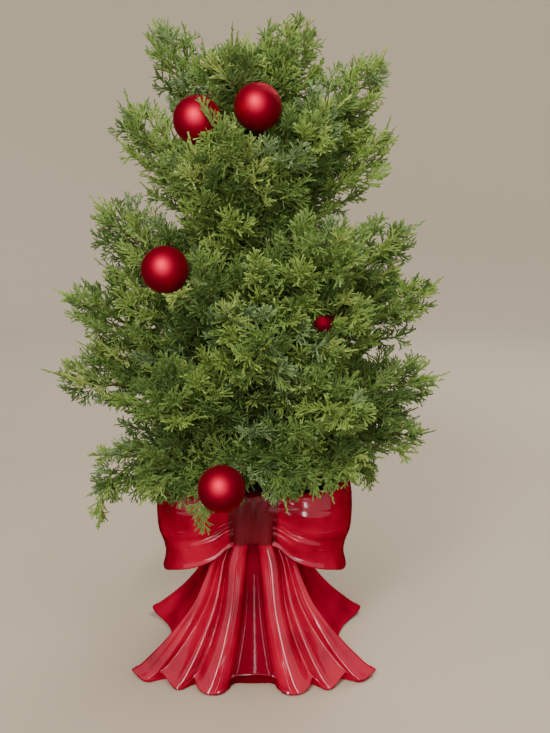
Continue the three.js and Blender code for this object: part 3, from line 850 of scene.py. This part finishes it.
# %% Grow spray patterns
FINGER_R = 1.2
FORK_R = 1.05
SHORTEST_FINGER = 7
LONGEST_FINGER = 23
# A finger longer than so many mm forks at these shares of its length.
FORKS = [[17, (0.3, 0.5, 0.7)], [11, (0.36, 0.64)], [8, (0.5,)], [0, ()]]


def grow_spray(length, slender, shortest, rng):
    """One spray along +X, flat in XY, as rows of finger (base, tip, half width)."""
    rows = []

    def bend(p):
        return np.array([p[0], p[1], p[2] + 0.004 * p[0] ** 2])

    def finger(base, way, size, radius):
        base = np.asarray(base, float)
        rows.append(np.concatenate([bend(base - way * 1.2), bend(base + way * size), [radius]]))

    def heading(turn, tilt):
        level = math.cos(tilt)
        return np.array([math.cos(turn) * level, math.sin(turn) * level, math.sin(tilt)])

    s, side = 1.5, rng.choice([-1, 1])
    while s < length - 4:
        t = s / length
        reach = slender * 0.74 * length * (1 - t) ** 0.75 * min(1.0, 0.55 + 2.0 * t)
        reach = float(np.clip(reach * rng.uniform(0.85, 1.12), shortest, LONGEST_FINGER))
        turn = side * math.radians(rng.uniform(28, 40))
        tilt = math.radians(rng.normal(0, 15))
        way = heading(turn, tilt)
        base = np.array([s, 0, 0])
        finger(base, way, reach, FINGER_R)
        small = -side
        for share in next(shares for least, shares in FORKS if reach > least):
            twist = turn + small * math.radians(rng.uniform(26, 40))
            size = float(np.clip(reach * (1 - share) * 0.85 + 3.5, 5, 13)) * rng.uniform(0.88, 1.12)
            way_out = heading(twist, tilt + math.radians(rng.normal(0, 18)))
            finger(base + way * reach * share, way_out, size, FORK_R)
            small = -small
        s += rng.uniform(3.7, 4.9)
        side = -side
    middle = np.array([1.0, 0, 0])
    finger([0, 0, 0], middle, length * 0.6, FINGER_R)
    finger([length * 0.5, 0, 0], middle, length * 0.5, FINGER_R)
    return np.array(rows)


SPRAY_LENGTHS = [15, 22, 30, 38]
WHIP_LENGTH = 38
WHIP_SLENDER = 0.24
pattern_rng = np.random.default_rng(71)
PATTERNS = [[grow_spray(length, 1.0, SHORTEST_FINGER, pattern_rng) for _ in range(6)]
            for length in SPRAY_LENGTHS]
PATTERNS.append([grow_spray(WHIP_LENGTH, WHIP_SLENDER, SHORTEST_FINGER / 2, pattern_rng)
                 for _ in range(6)])
print("fingers in a spray:", [round(float(np.mean([len(p) for p in group]))) for group in PATTERNS])


# %% [markdown]
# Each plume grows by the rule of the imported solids: one stem from the end of its bough to its
# tip, with side twigs turned by the golden angle, so that no two lie over each other. Here the
# rule goes on two steps further: every twig carries sprays left and right, and a few at its
# end. Twigs are longest a third of the way along the stem and short near the tip, so a plume
# ends in a thin whip. Nothing is grown where a bauble hangs, in the line of sight to the balls,
# or in the planter.

# %% Where nothing may grow
CROWN_TOP = 747
BALL_GAP = 1.4
CAMERA = np.array([24.66, -1084, 582])
# Sight lines kept open to a ball: its number, offset to the right and up, and radius in mm.
SIGHTS = [[0, 0, 0, 24], [1, -11, 8, 13], [2, 0, 0, 24], [3, 0, 0, 8], [4, 0, 0, 24]]
cad_low, cad_high = np.array(cad_box[0]) / MM, np.array(cad_box[1]) / MM
SPARE = 0.02 * (cad_high - cad_low)


def loop_radius(angle):
    return LOOP_R - LOOP_PINCH * np.abs(np.sin(angle)) ** 6


def free_to_grow(points):
    """True where a point is clear of the planter and the baubles and inside the crown's reach."""
    points = np.asarray(points, float)
    r = np.hypot(points[..., 0], points[..., 1])
    angle = np.arctan2(points[..., 1], np.abs(points[..., 0]))
    outer = np.maximum(KNOT_Y + KNOT_DEPTH + 4, loop_radius(angle) + 3)
    good = (points[..., 2] > LOOP_TOP + 4) | (r > outer)
    good &= (points > cad_low - SPARE).all(-1) & (points < cad_high + SPARE).all(-1)
    good &= points[..., 2] < CROWN_TOP
    good &= np.linalg.norm(points[..., None, :] - ball_centres, axis=-1).min(-1) > BALL_R + BALL_GAP
    for number, right, up, radius in SIGHTS:
        centre = ball_centres[number] + [right, 0, up]
        sight = unit(CAMERA - centre)
        before = (points - centre) @ sight
        aside = np.linalg.norm(points - centre - before[..., None] * sight, axis=-1)
        good &= (before < 0) | (aside > radius)
    return good


# %% [markdown]
# A twig carries flat sprays left and right in turn, and a small star of them at its end. Each
# is only noted here, with its green: deep inside the crown, partly as older growth and partly
# as painted shade, darker low down and lighter in the top as painted shade and painted light,
# and fresh and light at the tips. A spray that would reach past the tip of its plume is
# shortened or left out.

# %% Sprays on a twig
TWIG_STEP = (6.8, 9.6)
STAR_SPRAYS = 3
SHORTEST_SPRAY = 7
SHORTEST_TWIG = 9
# The odds of the five greens inside the crown, and what is added at the tips and low down: deep
# inside is partly old growth, partly painted shade.
INNER_ODDS = np.array([0.42, 0.38, 0.13, 0.02, 0.05])
TIP_ODDS = np.array([-0.34, -0.06, 0.24, 0.12, 0.04])
LOW_SHADE_TOP_LIGHT_ODDS = np.array([0.14, 0.02, -0.1, -0.04, -0.02])
sprays, twig_paths = [], []


def frame_of(way, flat):
    side = unit(np.cross(flat, way))
    return np.stack([way, side, np.cross(way, side)])


def keeps_back(point, stop):
    """True where a point stays behind the blunt cone at a plume's tip."""
    if stop is None:
        return True
    past = point - stop[0]
    ahead = past @ stop[1]
    return ahead + 0.6 * np.linalg.norm(past - ahead * stop[1]) < 6


def pick_green(zone, outward, mood, rng):
    odds = INNER_ODDS + outward * TIP_ODDS + mood
    # Painted shade and light: the greens are darker low down and lighter in the top.
    odds += LOW_SHADE_TOP_LIGHT_ODDS * ((zone == "low") - 0.7 * (zone == "top"))
    odds = np.clip(odds, 0.01, None)
    return int(rng.choice(len(odds), p=odds / odds.sum()))


def add_spray(zone, base, way, flat, length, green, stop, rng, whip=False):
    """Notes one spray. stop is the point and the way of its plume's tip."""
    while length >= SHORTEST_SPRAY and not keeps_back(base + way * length, stop):
        length *= 0.85
    along = base + way * length * np.array([[0.1], [0.5], [1.0]])
    if length < SHORTEST_SPRAY or not free_to_grow(along).all():
        return
    size = int(np.argmin(np.abs(np.array(SPRAY_LENGTHS) - length)))
    scale = length / SPRAY_LENGTHS[size]
    if whip:
        size, scale = len(SPRAY_LENGTHS), length / WHIP_LENGTH
    sprays.append((zone, green, size, rng.integers(6), base, frame_of(way, flat), scale))


# %% Dress a twig
def dress_twig(zone, path, first, outward, stop, rng, mood):
    """Sprays along a twig from the distance first on. outward is 0 at the trunk, 1 at the tips."""
    steps = np.linalg.norm(np.diff(path, axis=0), axis=1)
    gone = np.concatenate([[0], np.cumsum(steps)])
    reach = gone[-1]
    head = unit(path[1] - path[0])
    flat = unit(np.cross(np.cross(head, UP), head) + rng.normal(0, 0.35, 3))
    side = rng.choice([-1, 1])
    green = pick_green(zone, outward, mood, rng)
    d = first
    while d < reach - 6:
        k = min(len(steps) - 1, int(np.searchsorted(gone, d, "right")) - 1)
        along = unit(path[k + 1] - path[k])
        point = path[k] + along * (d - gone[k])
        sideways = unit(np.cross(along, flat)) * side
        way = unit(sideways * 0.75 + along * 0.85 + rng.normal(0, 0.2, 3))
        size = float(np.clip((reach - d) * 0.5 + 13, 15, 36)) * rng.uniform(0.85, 1.15)
        tilt = unit(flat + rng.normal(0, 0.35, 3))
        # Sprays near a twig's start keep to the deep or mid green: partly older growth, partly
        # painted shade inside the crown.
        inner = rng.random() > 0.25 + d / reach
        add_spray(zone, point, way, tilt, size, min(green, 1) if inner else green, stop, rng)
        d += rng.uniform(*TWIG_STEP)
        side = -side
    end = unit(path[-1] - path[-2])
    whip = rng.random() < 0.45 * outward
    add_spray(zone, path[-1] - end * 9, end, flat, rng.uniform(24, 33), green, stop, rng, whip)
    third = np.cross(end, flat)
    turn = rng.uniform(0, 6.28)
    stars = STAR_SPRAYS if outward < 0.72 else 1
    for _ in range(stars):
        turn += 2 * math.pi / stars
        sideways = math.cos(turn) * flat + math.sin(turn) * third
        way = unit(end + 0.75 * sideways + rng.normal(0, 0.12, 3))
        add_spray(zone, path[-1] - end * 10, way, np.cross(way, sideways), rng.uniform(16, 23),
                  green, stop, rng)


def add_twig(zone, base, head, pull, reach, outward, stop, rng, mood):
    """One side twig that starts along head and bends towards pull, with its sprays."""
    lean = 0.7 * head + 0.3 * pull
    while reach >= SHORTEST_TWIG and not keeps_back(base + lean * (reach + 12), stop):
        reach *= 0.88
    if reach < SHORTEST_TWIG:
        return
    t = np.linspace(0, 1, 6)[:, None]
    path = base + reach * (head * (t - 0.3 * t ** 2) + pull * (0.3 * t ** 2))
    twig_paths.append((path, np.linspace(0.9, 0.45, len(path)), 3))
    dress_twig(zone, path, rng.uniform(5, 9), outward, stop, rng, mood)


# %% [markdown]
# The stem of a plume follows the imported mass, and its twigs grow shorter towards the tip.

# %% The plumes
GOLDEN = 2.39996
ZONES = {"top": ("leader", "upper"), "middle": ("mid", "wide"), "low": ("low", "skirt")}
# Sprays at a plume's tip: how far short of it they end (below 0: past it), length, whip or not.
TIP_SPRAYS = [(-14, 38, True), (2, 24, False), (10, 24, False), (-6, 32, True)]


def grow_plume(zone, mass, rng):
    """The stem of one foliage mass, its side twigs and the sprays at its tip."""
    held, radius = mass[2], mass[6]
    stem = way_point(mass, np.linspace(held or 0.05, 0.97, 24))
    twig_paths.append((stem, np.linspace(1.9, 0.6, 24), 5))
    whole = way_point(mass, np.linspace(0, 1, 60))
    length = np.linalg.norm(np.diff(whole, axis=0), axis=1).sum()
    tip, tip_way = way_point(mass, 1.0), unit(stem[-1] - stem[-3])
    stop = (tip, tip_way)
    mood = rng.normal(0, 0.09, len(INNER_ODDS)) * np.array([1, 1, 1, 0.6, 0.5])
    turn = rng.uniform(0, 6.28)
    s = 16.0
    while s < length - 8:
        u = s / length
        at, ahead = way_point(mass, u), way_point(mass, min(1.0, u + 0.03))
        way = unit(ahead - at)
        across = unit(np.cross(way, [0.13, 0.09, 1.0]))
        turn += GOLDEN
        spread = across * math.cos(turn) + np.cross(way, across) * math.sin(turn)
        reach = radius * 1.3 * (0.6 + 0.4 * min(1, u / 0.3)) * (1 - u) ** 0.5
        reach = reach * rng.uniform(0.8, 1.12) + 8
        head = unit(spread + way * (0.7 + 0.45 * u) + UP * 0.1)
        pull = unit(way + UP * 0.2)
        add_twig(zone, at, head, pull, reach, u, stop, rng, mood)
        s += rng.uniform(*TWIG_STEP)
    green = pick_green(zone, 1.0, mood, rng)
    for short, size, whip in TIP_SPRAYS:
        flat = unit(rng.normal(0, 0.5, 3) + UP)
        way = unit(tip_way + rng.normal(0, 0.16, 3))
        add_spray(zone, tip - tip_way * (size + short), way, flat, size, green, None, rng, whip)


for number, mass in enumerate(MASSES):
    zone = next(name for name, kinds in ZONES.items() if mass[0].split("_")[0] in kinds)
    grow_plume(zone, mass, np.random.default_rng(900 + number))
print("sprays on the plumes:", len(sprays))

# %% [markdown]
# Two plumes whose tips stand near each other get a shorter one between them, at most two each.
# A few more hang before the baubles that are half hidden.

# %% Shorter plumes between neighbours
LOW_Z, MIDDLE_Z = 320, 500
BETWEEN_GAP = 205
BETWEEN_STRETCH = 1.7
BETWEEN_REACH = 0.86
BETWEEN_R = 44
# The plumes before baubles, as [height on the trunk, tip].
COVERS = [
    [372, (94, -140, 396)], [392, (52, -140, 428)], [385, (126, -112, 432)], [508, (-32, -122, 622)],
]


def zone_at(z):
    return "low" if z < LOW_Z else "middle" if z < MIDDLE_Z else "top"


def between_plumes():
    tips = np.array([mass[3:6] for mass in MASSES], float)
    gaps = np.linalg.norm((tips[:, None] - tips) * [1, 1, BETWEEN_STRETCH], axis=-1)
    used = np.zeros(len(MASSES), int)
    made = []
    pairs = [(gaps[i, j], i, j) for i in range(len(MASSES)) for j in range(i)]
    for gap, i, j in sorted(pairs):
        if gap < BETWEEN_GAP and max(used[i], used[j]) < 2:
            used[[i, j]] += 1
            z = (MASSES[i][1] + MASSES[j][1]) / 2
            tip = trunk_at(z) + BETWEEN_REACH * ((tips[i] + tips[j]) / 2 - trunk_at(z))
            made.append(["between", z, 0, *tip, BETWEEN_R, 4])
    return made


extra = between_plumes() + [["cover", z, 0, *tip, BETWEEN_R, 4] for z, tip in COVERS]
for number, mass in enumerate(extra):
    grow_plume(zone_at(mass[5]), mass, np.random.default_rng(1500 + number))
print("plumes between:", len(extra), "sprays:", len(sprays))

# %% [markdown]
# Short twigs up the trunk close the middle of the crown. Over the planter's rim a row of twigs
# arches out and hangs down, with a gap at the front right. Three sprigs follow the picture.

# %% Twigs on the trunk
inner_rng = np.random.default_rng(77)
no_mood = np.zeros(len(INNER_ODDS))
turn = 0.0
for z in np.arange(228, 650, 8.0):
    turn += GOLDEN
    out = np.array([math.cos(turn), math.sin(turn), 0])
    rise = 0.1 if z < 250 else 0.75
    reach = inner_rng.uniform(70, 92) if z < 560 else inner_rng.uniform(48, 66)
    head, pull = unit(out + UP * rise), unit(out + UP * (rise + 0.5))
    add_twig(zone_at(z + 40), trunk_at(z), head, pull, reach, 0.1, None, inner_rng, no_mood)


# %% Twigs over the rim, and sprigs
RIM_STEP = 8
RIM_OPEN = (-48, -12)
# How low the twigs hang: compass angle (front is -90), height.
RIM_DROOP = [
    [-180, 214], [-160, 222], [-135, 238], [-112, 247], [-90, 260], [-68, 252], [-50, 246],
    [-8, 226], [20, 216], [180, 214],
]
# The sprigs, each as zone, start, bend and tip: two hang low, one crosses a ball.
SPRIGS = [
    ["low", [(-40, -90, 242), (-58, -126, 246), (-55, -128, 219)]],
    ["low", [(-158, -24, 238), (-181, -27, 224), (-182, -28, 178)]],
    ["top", [(-4, -92, 578), (-28, -118, 606), (-42, -121, 630)]],
]
shade = np.array([3.0, 2.0, 0, 0, 0])


def hanging_twig(zone, corners, first, rng, mood):
    """A twig on a smooth curve through the air between its first and last corner."""
    corners = np.array(corners, float)
    degree = len(corners) - 1
    t = np.linspace(0, 1, 12)[:, None]
    path = sum(math.comb(degree, k) * (1 - t) ** (degree - k) * t ** k * corner
               for k, corner in enumerate(corners))
    twig_paths.append((path, np.linspace(1.1, 0.5, len(path)), 3))
    dress_twig(zone, path, first, 0.6, None, rng, mood)


for degrees in range(-180, 180, RIM_STEP):
    if not RIM_OPEN[0] < degrees < RIM_OPEN[1]:
        a = math.radians(degrees + inner_rng.uniform(-4, 4))
        out = np.array([math.cos(a), math.sin(a), 0])
        far = inner_rng.uniform(122, 134)
        start = trunk_at(inner_rng.uniform(232, 262))
        down = smooth_along(RIM_DROOP, degrees) + inner_rng.uniform(-5, 6)
        over = down + inner_rng.uniform(8, 22) + 0.45 * (262 - down)
        corners = [start, out * 60 + UP * (over + 6), out * far + UP * over,
                   out * (far + 6) + UP * down]
        hanging_twig("low", corners, 45, inner_rng, no_mood)
for zone, corners in SPRIGS:
    hanging_twig(zone, corners, 10, inner_rng, shade)
print("sprays:", len(sprays), "twigs:", len(twig_paths))

# %% [markdown]
# The greens are dealt out by spray. Inner growth is deep green, partly as old growth and partly
# as painted shade, and the outer tips are fresh and yellowish. Low sprays are darker and top ones
# lighter, as painted shade and painted light. A few sprays have the grey bloom that junipers
# show. Each is a living leaf: a waxy skin over pulp, so the gloss is low and broad, and its tiny
# scales break it up.

# %% Leaf finishes
LEAF_SCALE_MM = 1.4
LEAF_COLOURS = {
    "deep": "#526F3A", "mid": "#6B8A48", "fresh": "#7F9F50", "light": "#94AD60", "grey": "#718E60",
}


def waxy_leaf(name, colour):
    material, tree, shader, at = new_material(f"waxy_scale_leaf_{name}")
    scales = node(tree, "TexNoise", {"Scale": per(LEAF_SCALE_MM), "Detail": 2.0}, at)
    bump = node(tree, "Bump", {"Strength": 0.35, "Distance": 0.0004}, [("Height", scales, "Fac")])
    finish = {"Base Color": linear(colour), "Roughness": 0.5, "IOR": 1.42}
    wire(tree, shader, finish, [("Normal", bump, "Normal")])
    return material


leaf_materials = {name: waxy_leaf(name, colour) for name, colour in LEAF_COLOURS.items()}


# %% [markdown]
# Each noted spray lays out its pattern, and each finger that is free to grow becomes a sliver.
# There is one piece for each green in the top, the middle and the low part of the crown.

# %% Turn the noted sprays into slivers
SLIVER = np.array([[0, 1, 2], [0, 3, 1], [0, 2, 3], [1, 3, 2]], np.int32)
BLUNT = 0.8


def slivers(base, tip, half_width):
    """Closed slivers: an edge across at the root, and a crosswise edge at the blunt end."""
    way = unit(tip - base)
    helper = np.where(np.abs(way[:, 2:3]) < 0.8, UP, [1.0, 0, 0])
    a = unit(np.cross(way, helper))
    b = np.cross(way, a)
    turn = (np.arange(len(base)) * GOLDEN)[:, None]
    half_width = half_width[:, None]
    across = half_width * (np.cos(turn) * a + np.sin(turn) * b)
    crosswise = BLUNT * half_width * (np.cos(turn) * b - np.sin(turn) * a)
    points = np.stack([base - across, base + across, tip - crosswise, tip + crosswise], 1)
    faces = SLIVER[None] + (np.arange(len(base)) * 4)[:, None, None]
    return points.reshape(-1, 3), faces.reshape(-1, 3)


def fingers_of(sprays):
    bases, tips, widths = [], [], []
    groups = {}
    for row in sprays:
        groups.setdefault((row[2], row[3]), []).append(row)
    for (size, which), rows in sorted(groups.items()):
        pattern = PATTERNS[size][which]
        origin, frames, scale = (np.array([row[n] for row in rows]) for n in (4, 5, 6))
        low, high = (np.einsum("fi,nij->nfj", end, frames) * scale[:, None, None] + origin[:, None]
                     for end in (pattern[:, 0:3], pattern[:, 3:6]))
        bases.append(low.reshape(-1, 3))
        tips.append(high.reshape(-1, 3))
        widths.append(np.tile(pattern[:, 6], len(rows)))
    bases, tips, widths = np.concatenate(bases), np.concatenate(tips), np.concatenate(widths)
    good = free_to_grow(bases) & free_to_grow(tips)
    return bases[good], tips[good], widths[good]


# %% Leaf pieces, and the twigs under them
finger_count = 0
for zone, kinds in ZONES.items():
    nodes = ["foliage_" + m[0] for m in MASSES if m[0].split("_")[0] in kinds]
    for number, name in enumerate(LEAF_COLOURS):
        chosen = [row for row in sprays if row[0] == zone and row[1] == number]
        base, tip, half_width = fingers_of(chosen)
        finger_count += len(base)
        mesh = slivers(base, tip, half_width)
        piece = make_piece(f"leaves_{zone}_{name}", *mesh, leaf_materials[name], smooth=False)
        total += keep(piece, nodes)
print("fingers:", finger_count)

twig_points = []
for path, radii, sides in twig_paths:
    good = free_to_grow(path)
    stop = len(path) if good.all() else int(np.argmin(good))
    if stop >= 2:
        twig_points.append(tube(path[:stop], radii[:stop], sides))
twigs = make_piece("twigs", *gather(twig_points), twig_bark)
total += keep(twigs)
print("triangles in all:", total)

# %% [markdown]
# The plant stands on a plain pale floor that curves up into a wall all round, as a
# photographer's paper sweep does, so every view has the same ground. Its far floor and wall are
# painted paler, as painted light where the lamps reach less. The main lamp stands at the
# upper left. Larger ones above, in front and behind soften its shadows. A gloss glaze and a
# satin ball mostly show the room around them, so further lamps stand for its window, walls and
# ceiling. Each is reflected by the glaze alone or the lacquer alone, and lights nothing else.

# %% The floor
FLOOR_R = 2500
CURVE_R = 1300
WALL_TOP = 3200
SWEEP_SIDES = 96
PAPER_GRAIN = 220.0
# The paper is painted paler between these distances from the plant, in metres, as painted light
# where the lamps reach less.
PAPER_PAINTED_LIGHT_RANGE = {"From Min": 0.9, "From Max": 2.6}
FLOOR_GAP = 0.0004


def pale_paper():
    material, tree, shader, at = new_material("pale_paper_sweep")
    # Painted light: the paper's colour grows paler with distance from the plant.
    distance = node(tree, "VectorMath", links=at, settings={"operation": "LENGTH"})
    share = node(tree, "MapRange", PAPER_PAINTED_LIGHT_RANGE, [("Value", distance, "Value")])
    stops = [(0.0, linear("#BBB3A4")), (1.0, linear("#E6DFD2"))]
    tint = node(tree, "ValToRGB", links=[("Fac", share, "Result")], stops=stops)
    grain = node(tree, "TexNoise", {"Scale": PAPER_GRAIN, "Detail": 2.0}, at)
    bump = node(tree, "Bump", {"Strength": 0.1, "Distance": 0.0002}, [("Height", grain, "Fac")])
    wire(tree, shader, {"Roughness": 0.9},
         [("Base Color", tint, "Color"), ("Normal", bump, "Normal")])
    return material


def sweep():
    curve = np.linspace(0, math.pi / 2, 16)
    flat = np.geomspace(1, FLOOR_R, 12)[:-1]
    r = np.concatenate([flat, FLOOR_R + CURVE_R * np.sin(curve), [FLOOR_R + CURVE_R]])
    z = np.concatenate([0 * flat, CURVE_R * (1 - np.cos(curve)), [WALL_TOP]])
    angles = round_angles(SWEEP_SIDES)
    x, y = np.outer(r, np.cos(angles)), np.outer(r, np.sin(angles))
    points = np.stack([x, y, np.repeat(z[:, None], SWEEP_SIDES, 1)], -1)
    return points.reshape(-1, 3), loft_faces(len(r), SWEEP_SIDES)


floor = make_piece("paper_sweep", *sweep(), pale_paper())
floor.location.z = -FLOOR_GAP
floor.visible_glossy = False


# %% The lamps
def soft_lamp(name, place, aim, width, height, watts, colour, only=None, glossy=True):
    """A lamp aimed at a height in the middle. With only, it is a mere reflection in those pieces."""
    data = bpy.data.lights.new(name, "AREA")
    data.shape = "RECTANGLE"
    data.size, data.size_y = width, height
    data.energy = watts
    data.color = linear(colour)[:3]
    lamp = bpy.data.objects.new(name, data)
    bpy.context.scene.collection.objects.link(lamp)
    lamp.location = place
    way = np.array([0, 0, aim], float) - np.array(place, float)
    lamp.rotation_euler = (math.acos(-way[2] / np.linalg.norm(way)), 0, math.atan2(-way[0], way[1]))
    lamp.visible_camera = False
    lamp.visible_glossy = glossy
    if only:
        lamp.light_linking.receiver_collection = only
        lamp.visible_diffuse = False


glazed = bpy.data.collections.new("glazed_pieces")
glazed.objects.link(planter)
soft_lamp("lamp_main", (-0.5, -1.75, 1.7), 0.4, 0.5, 0.5, 34, "#FFF3E2")
soft_lamp("lamp_above", (0.3, -0.7, 2.4), 0.3, 1.6, 1.2, 26, "#FFF5E8", glossy=False)
soft_lamp("lamp_front", (0.1, -2.6, 1.15), 0.35, 1.8, 1.1, 27, "#FFF3EA", glossy=False)
soft_lamp("lamp_behind", (0.7, 1.3, 1.9), 0.35, 1.1, 1.1, 26, "#FFF5E8")
soft_lamp("reflected_window", (-0.3, -2.2, 1.1), 0.4, 1.9, 1.6, 38, "#FFF0EC", only=lacquered)
soft_lamp("reflected_ceiling", (0, -0.4, 2.6), 0.1, 3.4, 2.4, 18, "#FFEFEC", only=glazed)
soft_lamp("reflected_front", (0, -2.1, 1.9), 0.1, 3.6, 1.5, 34, "#FFEFEF", only=glazed)
soft_lamp("reflected_wall_left", (-2.2, -1.6, 0.9), 0.2, 3.4, 3.0, 30, "#FFF0F0", only=glazed)
soft_lamp("reflected_wall_right", (2.2, -1.6, 0.9), 0.2, 3.4, 3.0, 28, "#FFF0F0", only=glazed)
soft_lamp("reflected_strip_left", (-0.95, -2.0, 0.55), 0.2, 0.36, 0.75, 20, "#FFFFFF", only=glazed)
soft_lamp("reflected_strip_right", (0.95, -2.0, 0.3), 0.2, 0.24, 0.7, 11, "#FFFFFF", only=glazed)
soft_lamp("reflected_gap", (0.04, -2.2, 0.2), 0.2, 0.05, 0.8, 2.2, "#FFFFFF", only=glazed)
world = bpy.data.worlds.new("room_light")
bpy.context.scene.world = world
world.use_nodes = True
world.node_tree.nodes["Background"].inputs["Color"].default_value = linear("#E9E4DC")
world.node_tree.nodes["Background"].inputs["Strength"].default_value = 0.46
world.cycles_visibility.glossy = False

# %% [markdown]
# The camera stands where the photograph was taken from: a little right of the middle, 1.08 m
# in front of the planter and 0.58 m up, tipped 12 degrees down. Its lens is worked out from the
# size of the baubles in the picture.

# %% Camera
PICTURE_HEIGHT = 733
FOCAL_PX = 944
SENSOR = 36
TIPPED = 12
camera_data = bpy.data.cameras.new("view")
camera_data.sensor_width = SENSOR
camera_data.lens = FOCAL_PX / PICTURE_HEIGHT * SENSOR
camera_data.clip_start = 0.05
camera = bpy.data.objects.new("view", camera_data)
bpy.context.scene.collection.objects.link(camera)
camera.location = CAMERA * MM
camera.rotation_euler = (math.radians(90 - TIPPED), 0, 0)
bpy.context.scene.camera = camera
